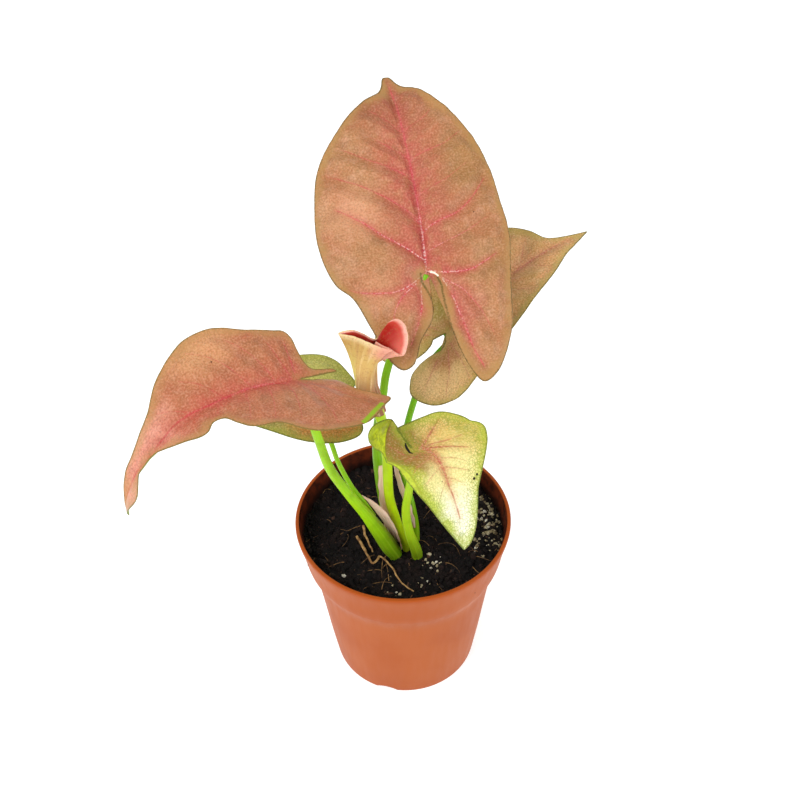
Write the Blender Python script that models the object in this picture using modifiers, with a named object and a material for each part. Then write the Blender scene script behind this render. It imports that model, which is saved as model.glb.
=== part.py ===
"""A young pink arrowhead plant (syngonium) growing in a small terracotta-coloured plastic pot.

The origin is the centre of the pot's flat underside, +Z is up and the plant faces -Y.
Sizes are in millimetres and are scaled to metres when a mesh or a curve is made.
"""

import math

import bmesh
import bpy
import numpy as np
from mathutils import Matrix, Vector, noise

MM = 0.001
SEAT_GAP = 0.3

# Pot, moulded in one piece with a plain collar and four drain notches under its edge
POT_HEIGHT = 67.5
RIM_RADIUS = 37.5
FOOT_RADIUS = 26.2
POT_WALL = 1.2
POT_FLOOR = 1.8
POT_STEPS = 48
NOTCH_COUNT = 4
NOTCH_RADIUS = 5.5
NOTCH_HEIGHT = 2.2
NOTCH_TURN = math.radians(-106)
# The outer wall as (radius, height) from the foot up: the slightly hollow body, the flare under
# the collar, the collar and the rim
POT_WALL_LINE = [(FOOT_RADIUS, 1.2), (28, 14), (29.6, 27), (31.3, 40), (32.4, 46.5), (34, 50.5),
                 (34.7, 52.2), (36.1, 60), (RIM_RADIUS - 0.2, 65.5)]

# Soil, and the stem stub that the leaf stalks grow from just under its surface
SOIL_TOP = 60.0
SOIL_WALL_GAP = 0.45
SOIL_BUMP = 0.9
SOIL_BUMP_SIZE = 7.0
SOIL_RINGS = 9
SOIL_STEPS = 40
CROWN_AT = (0.8, -8.2)
CROWN_RADIUS = 7.3
CROWN_TOP = 58.6
CROWN_DEPTH = 11.0

# Leaf blades
BLADE_THICKNESS = 0.8
VEIN_SLANT = 0.6
LOBE_ROWS = 13
MIDRIB_ROWS = 12
CURVE_STEPS = 8
TABLE_STEPS = 160

# Each leaf: where the stalk meets the blade, the heading, rise and roll of the blade in degrees,
# how it is folded along the midrib, arched to its margins and bowed towards its tip, the number of
# facets from midrib to margin, and the two half outlines as (outward, along) from the notch behind the
# stalk, round the lobe, to the tip.
LEAVES = {
    "top": dict(
        at=(9, 16, 160), heading=100, rise=38, roll=0,
        length=67, width=30, lobe=34,
        fold=12, arch=30, bow=10, curl=0, lobe_drop=10, sweep=-2, jog=0, crease=0, steps=5,
        right=[(2.7, -2.4), (3.4, -4.5), (3.6, -9), (4.2, -16), (5.4, -23), (8.2, -31), (12, -36),
               (16.5, -33.5), (22.5, -22.5), (25.5, -5), (27.5, 9), (26.5, 25), (24.5, 36), (18.5, 50),
               (9.5, 60.5), (4.5, 62.5), (2.6, 64.2), (1.6, 66), (0.9, 66.8), (0, 67)],
        left=[(2.3, -0.7), (2.1, -3.2), (1.1, -6), (0.1, -9), (-0.1, -11.7), (0.9, -15.5), (5.5, -21.5),
              (8.5, -28), (12, -29.5), (15.5, -26.5), (20, -15.5), (24, -6), (28.5, -1), (32, 11),
              (31.3, 24), (28.5, 35.5), (18, 50.5), (9.5, 58), (3.5, 61.5), (2.2, 63.6), (1.5, 65.8),
              (0.9, 66.7), (0, 67)],
        colour="#BC8063"),
    "right": dict(
        at=(15, 22, 130.5), heading=30, rise=35, roll=5,
        length=63, width=24, lobe=22,
        fold=8, arch=10, bow=40, curl=0, lobe_drop=-10, sweep=-2.5, jog=0, crease=0, steps=5,
        right=[(1.6, -2.6), (1.7, -6), (1.4, -9), (1.1, -11.5), (1.8, -14.2), (3.4, -16.8), (6, -19.6),
               (10, -22), (18.5, -19), (22.3, -12), (21.5, -2), (17.5, 17), (13, 31), (10, 39.5),
               (5.5, 48.5), (2.5, 57), (0, 63)],
        left=[(0.25, -1.5), (1.4, -8), (2.9, -15), (9, -21), (17, -18), (23, -8), (25.5, 6), (24, 22),
              (16.5, 40.5), (11, 45.3), (5, 48), (2, 54), (0, 63)],
        colour="#B8935A"),
    "left": dict(
        at=(-29.5, -22, 150), heading=212, rise=22, roll=-8,
        length=67, width=28, lobe=24,
        fold=20, arch=12, bow=67, curl=50, lobe_drop=0, sweep=-11, jog=0, crease=0, steps=5,
        right=[(0.15, -1.5), (0.6, -5), (1.2, -9), (1.9, -14.6), (2.7, -13.4), (2.9, -9), (3.6, -6),
               (6, -4.5), (10, -3.7), (14.2, -3.2), (16.3, -1.6), (16.9, 2), (18.5, 10), (22, 18),
               (22, 25), (20.5, 29), (15, 37.6), (9.6, 43), (7.1, 47), (5, 50.6), (4, 53.2),
               (3.3, 55.9), (2.3, 58.8), (1.3, 62), (0.7, 65), (0, 67)],
        left=[(0.4, -1.5), (0.6, -5), (0.8, -9), (2.4, -12.7), (5.5, -13.6), (9.2, -14.6), (13, -18),
              (16.2, -21.8), (21.8, -14.2), (26, -5.1), (28.8, 2.4), (27.8, 8.5), (25.1, 12),
              (22.3, 13.9), (20, 16.1), (18.2, 20.2), (16.1, 22.6), (12.6, 24.6), (8.4, 26.9),
              (7.5, 29.6), (9.7, 32), (9.6, 34.7), (7.9, 37.4), (5.9, 40.5), (2.6, 44.8), (0.8, 48),
              (1.1, 51), (2.2, 53.2), (4.5, 55), (6.8, 56.8), (7.9, 58.4), (7.4, 60), (5.6, 62),
              (2.4, 64.8), (0.5, 66.2), (0, 67)],
        colour="#C07A62"),
    "lower": dict(
        at=(-25, -2, 122), heading=188, rise=12, roll=-12,
        length=32, width=16, lobe=14,
        fold=12, arch=20, bow=25, curl=0, lobe_drop=10, sweep=0, jog=0, crease=0, steps=5,
        right=[(0.4, -1), (4, -8), (9, -11.5), (14, -9), (18, -6.5), (20.5, -2), (20, 6), (16, 15),
               (9, 24), (0, 32)],
        left=[(0.3, -1), (3, -8), (7, -12.5), (11, -11.5), (14, -7), (15.3, -1), (14.5, 7), (10, 17),
              (5, 26), (0, 32)],
        colour="#A08A44"),
    "front": dict(
        at=(4, -28, 126.5), heading=302, rise=-25, roll=3,
        length=33, width=18, lobe=13,
        fold=15, arch=10, bow=30, curl=0, lobe_drop=0, sweep=5.3, jog=-5.5, crease=75, steps=9,
        right=[(0.9, -1.4), (1.25, -4), (1.25, -8), (1.1, -10.4), (1.7, -12.4), (5, -14), (9.5, -15),
               (12.5, -14.6), (14.2, -13.4), (14.1, -10.8), (12.6, -6.8), (10.4, -3.4), (11, 2),
               (12.2, 6), (11.6, 11), (9, 18), (6, 24), (2.5, 29.5), (0, 33)],
        left=[(-0.6, -1.3), (-1.2, -5), (-1.4, -8.4), (2.5, -8.4), (7, -7.9), (12, -7), (15.5, -4.6),
              (18.4, -1.3), (19.5, 2), (17.3, 6), (14, 10), (10.6, 14.1), (7.7, 18.2), (6, 23), (4, 29),
              (2, 32), (0, 33)],
        colour="#D9C878"),
}
CURL_FROM = 0.72
CREASE_AT = 10.2
CREASE_WIDTH = 6.0
CREASE_BEND = 0.05
CREASE_FROM = 1.6
CREASE_END = 30.0
JOG_RATE = 8.0

# Leaf stalks, each a route of (x, y, z, radius) up from just above its foot on the crown, or on the left stalk
STALKS = {
    "top": [(-3.4, -4.6, 60.5, 1.7), (-4.6, -4.6, 68, 1.7), (-6, -4.4, 76, 1.7), (-7.5, -3, 91, 1.7),
            (-8, -1, 100.5, 1.65), (-7.5, 0.5, 110.5, 1.5), (-5.5, 2.5, 122, 1.35),
            (-4.5, 4, 128.5, 1.3), (-2.5, 6, 135, 1.25), (0, 9, 140.5, 1.2), (4.5, 13, 149, 1.1)],
    "right": [(4.2, -4.6, 60.5, 1.5), (4.1, -3.6, 66, 1.45), (3, -2, 75, 1.3), (0.6, 2, 85.5, 1.2),
              (0.2, 5, 92, 1.15), (2, 9, 102, 1.1), (4.5, 12.5, 110, 1.1), (8, 16.5, 119.5, 1.1)],
    "left": [(-3.1, -11.2, 60.5, 2.5), (-5.2, -11.7, 65.5, 2.9), (-8.4, -12.2, 73.5, 2.45),
             (-12.6, -13.6, 84, 1.9), (-17, -15.5, 94.5, 1.65), (-22.5, -18.5, 110, 1.5),
             (-25, -20.5, 124.5, 1.45), (-27.5, -21.5, 137.5, 1.4)],
    "lower": [(-9.75, -9.85, 78.6, 0.7), (-11.8, -10.55, 83.9, 0.75), (-13.5, -10.7, 87.5, 0.8),
              (-16.5, -10.3, 93, 0.8), (-20.5, -8, 102, 0.8), (-22.5, -6, 109, 0.8)],
    "front": [(4.6, -11.8, 60.5, 1.9), (4, -13, 65, 1.9), (2, -15, 75.5, 1.6), (1, -18, 89, 1.4),
              (2, -22, 103, 1.25), (3, -25.2, 114, 1.2)],
    "rolled": [(0.8, -8.3, 60.5, 1.4), (-0.6, -8.4, 67, 1.5), (-2.8, -8.8, 77, 1.6),
               (-4.4, -9.4, 87, 1.6), (-4.8, -9.6, 107, 1.65), (-5.5, -10, 118, 1.7)],
}
# How far below the blade a stalk turns to meet it squarely
STALK_TURN = 4.0
ROLLED_LEAF_FOOT = (-6.5, -10, 125.3)

# The rolled leaf: one blade wound into a funnel, its mouth a pointed slit on the left and a scoop
# on the right. The mouth runs from the outer seam round the front, the left tip and the back.
ROLL_MOUTH = [(-2, -13.5, 153), (-5.5, -13.2, 154), (-9.5, -13, 156), (-13, -12.7, 157.7),
              (-17.5, -12, 158.5), (-13.6, -10.6, 158.5), (-10.5, -8.6, 155.5), (-7, -6.6, 151.8),
              (-4.2, -5.4, 153.5), (-2.5, -5, 157), (-0.5, -5.2, 158), (1.6, -7, 157.5),
              (2.6, -10, 154.5), (2, -13, 150.5)]
ROLL_FOOT = (-7, -10, 126)
ROLL_FOOT_RADIUS = 2.3
ROLL_WAIST = (-10.2, -10, 137)
ROLL_WAIST_RADIUS = 3.2
ROLL_INNER_GAP = 1.5
ROLL_STEPS = 30
ROLL_ROWS = 8
ROLL_THICKNESS = 0.7

# Papery sheaths: (stalk, first and last part of its route, middle angle and half angle in degrees)
SHEATHS = {
    "left": ("left", 0.06, 0.38, 160, 42, 1.7),
    "top": ("top", 0.06, 0.36, 250, 50, 1.2),
    "right": ("right", 0.10, 0.42, 345, 50, 1.2),
}
SHEATH_THICKNESS = 0.6
SHEATH_GAP = 0.75

# Surface roots lying on the soil, as (x, y)
ROOTS = {
    "long": [(-16.2, -3.8), (-13.7, -8.9), (-12.3, -12.5), (-10.6, -16.1), (-9.2, -14.8), (-8.2, -13.1),
             (-6.1, -14.9), (-3.8, -18.5), (-2.1, -22.4), (0.2, -25.5), (3.2, -28.5)],
    "short": [(-14.6, 1.6), (-12.6, -2.6), (-11.3, -6.2), (-10.4, -9.4)],
}
ROOT_RADIUS = 0.4
ROOT_CLEARANCE = 0.7


def clear_scene():
    for thing in list(bpy.data.objects):
        bpy.data.objects.remove(thing, do_unlink=True)


def new_collection(name, shown=True):
    collection = bpy.data.collections.new(name)
    bpy.context.scene.collection.children.link(collection)
    collection.hide_render = not shown
    return collection


def new_material(name, hex_colour, roughness):
    """A plain surface whose colour is given as sRGB hex."""
    material = bpy.data.materials.new(name)
    material.use_nodes = True
    levels = [int(hex_colour[i:i + 2], 16) / 255 for i in (1, 3, 5)]
    linear = [c / 12.92 if c <= 0.04045 else ((c + 0.055) / 1.055) ** 2.4 for c in levels]
    shader = material.node_tree.nodes["Principled BSDF"]
    shader.inputs["Base Color"].default_value = (*linear, 1)
    shader.inputs["Roughness"].default_value = roughness
    shader.inputs["Metallic"].default_value = 0
    return material


def add_object(name, data, collection, material=None):
    thing = bpy.data.objects.new(name, data)
    collection.objects.link(thing)
    if material:
        data.materials.append(material)
    return thing


def mesh_from(name, points, faces):
    """A smooth-shaded mesh from points in millimetres."""
    mesh = bpy.data.meshes.new(name)
    mesh.from_pydata([tuple(float(c) * MM for c in p) for p in points], [], faces)
    mesh.shade_smooth()
    return mesh


def smooth_path(points, steps):
    """Points along a centripetal Catmull-Rom curve through the given ones."""
    knots = np.array(points, float)
    knots = np.vstack([2 * knots[0] - knots[1], knots, 2 * knots[-1] - knots[-2]])
    path = []
    for i in range(1, len(knots) - 2):
        p0, p1, p2, p3 = knots[i - 1:i + 3]
        t1 = math.sqrt(np.linalg.norm(p1 - p0))
        t2 = t1 + math.sqrt(np.linalg.norm(p2 - p1))
        t3 = t2 + math.sqrt(np.linalg.norm(p3 - p2))
        for t in np.linspace(t1, t2, steps, endpoint=False):
            a1 = p0 + (p1 - p0) * t / t1
            a2 = p1 + (p2 - p1) * (t - t1) / (t2 - t1)
            a3 = p2 + (p3 - p2) * (t - t2) / (t3 - t2)
            b1 = a1 + (a2 - a1) * t / t2
            b2 = a2 + (a3 - a2) * (t - t1) / (t3 - t1)
            path.append(b1 + (b2 - b1) * (t - t1) / (t2 - t1))
    path.append(knots[-2])
    return np.array(path)


def resample(path, count):
    """The path's points spaced evenly along it."""
    steps = np.linalg.norm(np.diff(path, axis=0), axis=1)
    along = np.concatenate([[0], np.cumsum(steps)])
    wanted = np.linspace(0, along[-1], count)
    return np.stack([np.interp(wanted, along, path[:, k]) for k in range(path.shape[1])], 1)


def lathe(name, profile, steps, collection, material):
    """A solid turned about Z from (radius, height) points that run down its outer side."""
    mesh = bpy.data.meshes.new(name)
    edges = [(i, i + 1) for i in range(len(profile) - 1)]
    mesh.from_pydata([(r * MM, 0, z * MM) for r, z in profile], edges, [])
    thing = add_object(name, mesh, collection, material)
    screw = thing.modifiers.new("Turn", "SCREW")
    screw.steps = steps
    screw.render_steps = steps
    screw.use_merge_vertices = True
    screw.merge_threshold = 0.00001
    screw.use_smooth_shade = True
    return thing


def bake(thing):
    """Replaces the object's mesh by its evaluated one, with doubles merged and no modifiers."""
    graph = bpy.context.evaluated_depsgraph_get()
    mesh = bpy.data.meshes.new_from_object(thing.evaluated_get(graph))
    merged = bmesh.new()
    merged.from_mesh(mesh)
    bmesh.ops.remove_doubles(merged, verts=merged.verts, dist=0.000001)
    merged.to_mesh(mesh)
    merged.free()
    thing.modifiers.clear()
    thing.data = mesh
    return thing


def cut(thing, cutter):
    cutter.display_type = "WIRE"
    cutter.hide_render = True
    boolean = thing.modifiers.new("Cut " + cutter.name, "BOOLEAN")
    boolean.operation = "DIFFERENCE"
    boolean.solver = "EXACT"
    boolean.object = cutter


def add_cylinder(name, radius, depth, matrix, collection):
    cylinder = bmesh.new()
    bmesh.ops.create_cone(cylinder, cap_ends=True, segments=32, radius1=radius * MM,
                          radius2=radius * MM, depth=depth * MM, matrix=matrix)
    mesh = bpy.data.meshes.new(name)
    cylinder.to_mesh(mesh)
    cylinder.free()
    return add_object(name, mesh, collection)


def inner_wall_radius(height):
    """Radius of the pot's inner wall at a height."""
    radii, heights = zip(*POT_WALL_LINE)
    return float(np.interp(height, heights, radii)) - POT_WALL


def make_pot(collection, cutters):
    mouth = inner_wall_radius(POT_HEIGHT)
    inside = [(inner_wall_radius(z), z) for _, z in POT_WALL_LINE[1:-1]]
    profile = [
        (0, POT_FLOOR),
        (FOOT_RADIUS - 3.0, POT_FLOOR),
        (inner_wall_radius(POT_FLOOR + 1.2), POT_FLOOR + 1.2),
        *inside,
        (mouth, POT_HEIGHT - 0.6),
        (mouth + 0.3, POT_HEIGHT),
        (RIM_RADIUS - 0.3, POT_HEIGHT),
        (RIM_RADIUS, POT_HEIGHT - 0.5),
        *reversed(POT_WALL_LINE),
        (FOOT_RADIUS - 0.6, 0),
        (0, 0),
    ]
    pot = lathe("pot", profile, POT_STEPS, collection, new_material("pot plastic", "#C96F42", 0.4))
    for i in range(NOTCH_COUNT):
        turn = NOTCH_TURN + i * math.tau / NOTCH_COUNT
        centre = Vector((math.cos(turn), math.sin(turn), 0)) * (FOOT_RADIUS - 1) * MM
        centre.z = (NOTCH_HEIGHT - NOTCH_RADIUS) * MM
        turned = Matrix.Rotation(turn, 4, "Z") @ Matrix.Rotation(math.pi / 2, 4, "Y")
        notch = add_cylinder(f"drain notch {i + 1}", NOTCH_RADIUS, 10, Matrix.Translation(centre) @ turned, cutters)
        cut(pot, notch)


def soil_height(x, y):
    """Height of the crumbly soil surface, a little domed towards the stem."""
    bump = noise.noise(Vector((x / SOIL_BUMP_SIZE, y / SOIL_BUMP_SIZE, 4.2)))
    dome = 1 - min(math.hypot(x, y) / RIM_RADIUS, 1) ** 2
    return SOIL_TOP - 0.6 + SOIL_BUMP * bump + 0.6 * dome


def make_soil(collection, cutters):
    bottom = POT_FLOOR + SEAT_GAP
    edge = inner_wall_radius(SOIL_TOP) - SOIL_WALL_GAP
    profile = [(edge * i / SOIL_RINGS, SOIL_TOP) for i in range(SOIL_RINGS + 1)]
    profile += [(inner_wall_radius(z) - SOIL_WALL_GAP, z) for _, z in reversed(POT_WALL_LINE[1:-2])]
    profile += [
        (inner_wall_radius(bottom + 1.6) - SOIL_WALL_GAP, bottom + 1.6),
        (FOOT_RADIUS - 3.6, bottom),
        (0, bottom),
    ]
    soil = bake(lathe("soil", profile, SOIL_STEPS, collection, new_material("peat soil", "#17100F", 0.95)))
    for vertex in soil.data.vertices:
        if vertex.co.z > (SOIL_TOP - 0.1) * MM:
            vertex.co.z = soil_height(vertex.co.x / MM, vertex.co.y / MM) * MM
    bottom_of_hole = CROWN_TOP - CROWN_DEPTH - SEAT_GAP
    height = SOIL_TOP + 6 - bottom_of_hole
    middle = Matrix.Translation(Vector((*CROWN_AT, bottom_of_hole + height / 2)) * MM)
    cut(soil, add_cylinder("stem hole", CROWN_RADIUS + SEAT_GAP, height, middle, cutters))


def make_crown(collection):
    """The short stem under the soil line, which every stalk stands on."""
    foot = CROWN_TOP - CROWN_DEPTH
    profile = [(0, CROWN_TOP), (CROWN_RADIUS - 0.5, CROWN_TOP), (CROWN_RADIUS, CROWN_TOP - 0.6),
               (CROWN_RADIUS - 0.4, CROWN_TOP - 5), (CROWN_RADIUS - 2, foot + 1), (CROWN_RADIUS - 3, foot), (0, foot)]
    crown = lathe("crown", profile, 24, collection, new_material("stem base", "#7E8A3C", 0.6))
    crown.location = Vector((*CROWN_AT, 0)) * MM


def leaf_axes(leaf):
    """Unit vectors of the blade at its stalk: to its right, towards its tip, and up out of it."""
    heading, rise, roll = (math.radians(leaf[key]) for key in ("heading", "rise", "roll"))
    tipward = np.array([math.cos(heading) * math.cos(rise), math.sin(heading) * math.cos(rise), math.sin(rise)])
    level = np.array([math.sin(heading), -math.cos(heading), 0])
    upward = np.cross(level, tipward)
    right = level * math.cos(roll) - upward * math.sin(roll)
    return right, tipward, upward * math.cos(roll) + level * math.sin(roll)


def running_sum(values, step):
    """The integral of evenly spaced values, from zero."""
    return np.concatenate([[0], np.cumsum((values[1:] + values[:-1]) / 2)]) * step


def blade_points(leaf, side, outward, along):
    """Points of the blade's upper face for flat places on it, side being 1 for right and -1 for left."""
    outward, along = np.asarray(outward, float), np.asarray(along, float)
    fraction = np.linspace(0, 1, TABLE_STEPS)[:, None]
    reach = outward[None, :] * fraction
    angle = math.radians(leaf["fold"]) - math.radians(leaf["arch"]) * reach / leaf["width"]
    if leaf["crease"] and side > 0:
        line = CREASE_AT - CREASE_BEND * np.clip(CREASE_FROM - along, 0, None) ** 2
        turn = np.clip((reach - line) / CREASE_WIDTH + 0.5, 0, 1)
        fade = np.clip((CREASE_END - along) / CREASE_END, 0, 1)
        angle = angle - math.radians(leaf["crease"]) * turn * turn * (3 - 2 * turn) * fade
    across = side * np.cos(angle).mean(0) * outward
    lift = np.sin(angle).mean(0) * outward
    part = np.clip(along / leaf["length"], 0, None)
    table = np.linspace(0, 1.5, TABLE_STEPS)
    tip_part = np.clip((table - CURL_FROM) / (1 - CURL_FROM), 0, None)
    bend = math.radians(leaf["bow"]) * table + math.radians(leaf["curl"]) * tip_part ** 1.5
    step = table[1] * leaf["length"]
    ahead = np.interp(part, table, running_sum(np.cos(bend), step))
    height = np.interp(part, table, -running_sum(np.sin(bend), step))
    turned = np.interp(part, table, bend)
    back = np.clip(-along / leaf["lobe"], 0, None)
    drop = math.radians(leaf["lobe_drop"]) * table
    step = table[1] * leaf["lobe"]
    behind = along < 0
    ahead = np.where(behind, np.interp(back, table, -running_sum(np.cos(drop), step)), ahead)
    height = np.where(behind, np.interp(back, table, -running_sum(np.sin(drop), step)), height)
    turned = np.where(behind, -np.interp(back, table, drop), turned)
    across = across + leaf["sweep"] * part ** 2 + leaf["jog"] * (1 - np.exp(-JOG_RATE * part))
    right, tipward, upward = leaf_axes(leaf)
    ahead = ahead + lift * np.sin(turned)
    height = height + lift * np.cos(turned)
    offsets = across[:, None] * right + ahead[:, None] * tipward + height[:, None] * upward
    return np.array(leaf["at"], float) + offsets


def margin_rows(leaf, side_name):
    """Places on the margin where the rows of faces end: round the lobe, then one for each midrib station."""
    margin = smooth_path(leaf[side_name], CURVE_STEPS)
    level = margin[:, 1] - VEIN_SLANT * margin[:, 0]
    turn = np.nonzero(level < 0)[0][-1] + 1
    start = margin[turn - 1] + (margin[turn] - margin[turn - 1]) * -level[turn - 1] / (level[turn] - level[turn - 1])
    lobe = resample(np.vstack([margin[:turn], start]), LOBE_ROWS)
    stations = leaf["length"] * (1 - (1 - np.arange(1, MIDRIB_ROWS) / MIDRIB_ROWS) ** 1.25)
    upper = np.vstack([start, margin[turn:]])
    levels = np.maximum.accumulate(np.concatenate([[0], level[turn:]]))
    sides = np.stack([np.interp(stations, levels, upper[:, k]) for k in (0, 1)], 1)
    return lobe, stations, sides


def make_blade(name, leaf, collection):
    """The blade as triangles fanned from the midrib, thickened downwards."""
    points = [np.array([leaf["at"]], float)]
    faces = []
    spine = []
    total = 1
    row_steps = leaf["steps"]
    for side, side_name in ((1, "right"), (-1, "left")):
        lobe, stations, sides = margin_rows(leaf, side_name)
        if not spine:
            middle = blade_points(leaf, 1, np.zeros(len(stations) + 1), np.append(stations, leaf["length"]))
            points.append(middle)
            spine = list(range(1, len(middle) + 1))
            total += len(middle)
        starts = [0] * len(lobe) + spine[:-1]
        roots = np.vstack([np.zeros((len(lobe), 2)), np.stack([0 * stations, stations], 1)])
        ends = np.vstack([lobe, sides])
        rows = []
        for start, root, end in zip(starts, roots, ends):
            share = np.linspace(0, 1, row_steps + 1)[1:, None]
            flat = root + (end - root) * share
            points.append(blade_points(leaf, side, flat[:, 0], flat[:, 1]))
            rows.append([start] + list(range(total, total + row_steps)))
            total += row_steps
        rows.append([spine[-1]] * (row_steps + 1))
        for one, two in zip(rows, rows[1:]):
            for j in range(row_steps):
                for triangle in ((one[j], one[j + 1], two[j + 1]), (one[j], two[j + 1], two[j])):
                    if len(set(triangle)) == 3:
                        faces.append(triangle[::side])
    mesh = mesh_from(name, np.vstack(points), faces)
    blade = add_object(name, mesh, collection, new_material(name + " blade", leaf["colour"], 0.5))
    solidify = blade.modifiers.new("Thickness", "SOLIDIFY")
    solidify.thickness = BLADE_THICKNESS * MM
    solidify.offset = -1
    return blade


def stalk_route(name):
    """The stalk's whole route, which ends square to the blade and just under it."""
    route = [list(point) for point in STALKS[name]]
    foot = list(route[0])
    if name != "lower":
        foot[2] = CROWN_TOP + SEAT_GAP
        route.insert(0, foot)
    radius = route[-1][3]
    if name in LEAVES:
        leaf = LEAVES[name]
        upward = leaf_axes(leaf)[2]
        for depth in (STALK_TURN, BLADE_THICKNESS + 2 * SEAT_GAP):
            route.append([*(np.array(leaf["at"]) - upward * depth), radius])
    else:
        route.append([*ROLLED_LEAF_FOOT, radius])
    return smooth_path(route, 3)


def make_stalk(name, hex_colour, collection):
    route = stalk_route(name)
    curve = bpy.data.curves.new("petiole_" + name, "CURVE")
    curve.dimensions = "3D"
    curve.bevel_depth = MM
    curve.bevel_resolution = 2
    curve.use_fill_caps = True
    spline = curve.splines.new("POLY")
    spline.points.add(len(route) - 1)
    for point, (x, y, z, radius) in zip(spline.points, route):
        point.co = (x * MM, y * MM, z * MM, 1)
        point.radius = radius
    add_object("petiole_" + name, curve, collection, new_material("stalk " + name, hex_colour, 0.4))


def make_rolled_leaf(collection):
    """A blade wound into a funnel: a sheet round the mouth whose last part tucks inside its first."""
    mouth = resample(smooth_path(ROLL_MOUTH + ROLL_MOUTH[:1], CURVE_STEPS), ROLL_STEPS + 1)
    mouth = np.vstack([mouth, mouth[1:4]])
    turns = len(mouth)
    tuck = np.clip((np.arange(turns) - (ROLL_STEPS - 5)) / 4, 0, 1) * ROLL_INNER_GAP
    centre = mouth[:ROLL_STEPS].mean(0)
    around = np.arctan2(mouth[:, 1] - centre[1], mouth[:, 0] - centre[0])
    points, faces = [], []
    for row in range(ROLL_ROWS + 1):
        rise = row / ROLL_ROWS
        low = min(rise / 0.4, 1)
        flare = max(rise - 0.4, 0) / 0.6
        axis = np.array(ROLL_FOOT) + (np.array(ROLL_WAIST) - np.array(ROLL_FOOT)) * low
        radius = ROLL_FOOT_RADIUS + (ROLL_WAIST_RADIUS - ROLL_FOOT_RADIUS) * low
        for i in range(turns):
            ring = axis + radius * np.array([math.cos(around[i]), math.sin(around[i]), 0])
            place = ring.copy()
            place[:2] += (mouth[i][:2] - ring[:2]) * flare ** 1.8
            place[2] += (mouth[i][2] - ring[2]) * flare
            inward = np.array([axis[0], axis[1]]) + (centre[:2] - axis[:2]) * flare ** 1.8 - place[:2]
            place[:2] += inward / np.linalg.norm(inward) * tuck[i]
            points.append(place)
    for row in range(ROLL_ROWS):
        for i in range(turns - 1):
            a = row * turns + i
            b = a + turns
            faces += [(a, b + 1, a + 1), (a, b, b + 1)]
    mesh = mesh_from("leaf_rolled", points, faces)
    roll = add_object("leaf_rolled", mesh, collection, new_material("rolled blade", "#E5C08A", 0.45))
    solidify = roll.modifiers.new("Thickness", "SOLIDIFY")
    solidify.thickness = ROLL_THICKNESS * MM
    solidify.offset = 0


def make_sheath(name, collection, material):
    """A dry sheath: a strip wrapped part of the way round the lower end of a stalk, narrowing to a point."""
    stalk, first, last, middle, half, flare = SHEATHS[name]
    path = resample(stalk_route(stalk), 61)
    path = resample(path[round(first * 60):round(last * 60) + 1], 9)
    points, faces = [], []
    columns = 6
    for i, place in enumerate(path):
        ahead = path[min(i + 1, len(path) - 1)][:3] - path[max(i - 1, 0)][:3]
        ahead = ahead / np.linalg.norm(ahead)
        side = np.cross(ahead, [0, 1, 0])
        side = side / np.linalg.norm(side)
        out = np.cross(side, ahead)
        part = i / (len(path) - 1)
        radius = place[3] + SHEATH_GAP + flare * part ** 2
        spread = math.radians(half) * (1 - 0.75 * part ** 2)
        for j in range(columns + 1):
            angle = math.radians(middle) + spread * (2 * j / columns - 1)
            points.append(place[:3] + radius * (math.cos(angle) * side + math.sin(angle) * out))
    for i in range(len(path) - 1):
        for j in range(columns):
            a = i * (columns + 1) + j
            b = a + columns + 1
            faces += [(a, a + 1, b + 1), (a, b + 1, b)]
    mesh = mesh_from("sheath_" + name, points, faces)
    sheath = add_object("sheath_" + name, mesh, collection, material)
    solidify = sheath.modifiers.new("Thickness", "SOLIDIFY")
    solidify.thickness = SHEATH_THICKNESS * MM
    solidify.offset = 1


def make_root(name, collection, material):
    route = resample(smooth_path(ROOTS[name], 4), 16)
    curve = bpy.data.curves.new("root_" + name, "CURVE")
    curve.dimensions = "3D"
    curve.bevel_depth = ROOT_RADIUS * MM
    curve.bevel_resolution = 1
    curve.use_fill_caps = True
    spline = curve.splines.new("POLY")
    spline.points.add(len(route) - 1)
    for point, (x, y) in zip(spline.points, route):
        height = soil_height(x, y) + ROOT_RADIUS + ROOT_CLEARANCE
        point.co = (x * MM, y * MM, height * MM, 1)
    add_object("root_" + name, curve, collection, material)


def main():
    clear_scene()
    plant = new_collection("Potted syngonium")
    cutters = new_collection("Cutters", shown=False)
    make_pot(plant, cutters)
    make_soil(plant, cutters)
    make_crown(plant)
    for name, leaf in LEAVES.items():
        make_blade("leaf_" + name, leaf, plant)
    make_rolled_leaf(plant)
    colours = dict(top="#5E9E00", right="#5E9E00", left="#86BC18", lower="#86BC18", front="#A2C83C", rolled="#A4D010")
    for name, hex_colour in colours.items():
        make_stalk(name, hex_colour, plant)
    papery = new_material("papery sheath", "#B99A80", 0.8)
    for name in SHEATHS:
        make_sheath(name, plant, papery)
    fibre = new_material("root fibre", "#9A7040", 0.8)
    for name in ROOTS:
        make_root(name, plant, fibre)


main()
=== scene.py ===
"""Looks of a young pink arrowhead plant in a terracotta-coloured nursery pot.

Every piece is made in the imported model's frame: +Z up, the origin under the pot, the plant facing -Y.
Sizes are in millimetres and become metres when a mesh is made.
"""

import math
import random

import bmesh
import bpy
import numpy as np
from mathutils import Matrix, Vector, noise


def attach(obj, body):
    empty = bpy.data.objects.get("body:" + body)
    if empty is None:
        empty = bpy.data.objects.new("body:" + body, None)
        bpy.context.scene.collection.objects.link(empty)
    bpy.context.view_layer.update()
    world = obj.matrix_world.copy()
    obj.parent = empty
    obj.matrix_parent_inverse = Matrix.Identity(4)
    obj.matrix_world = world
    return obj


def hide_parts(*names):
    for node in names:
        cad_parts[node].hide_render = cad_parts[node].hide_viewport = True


MM = 0.001
# Points nearer than this many metres become one
MERGE_WITHIN = 0.000001

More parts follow.
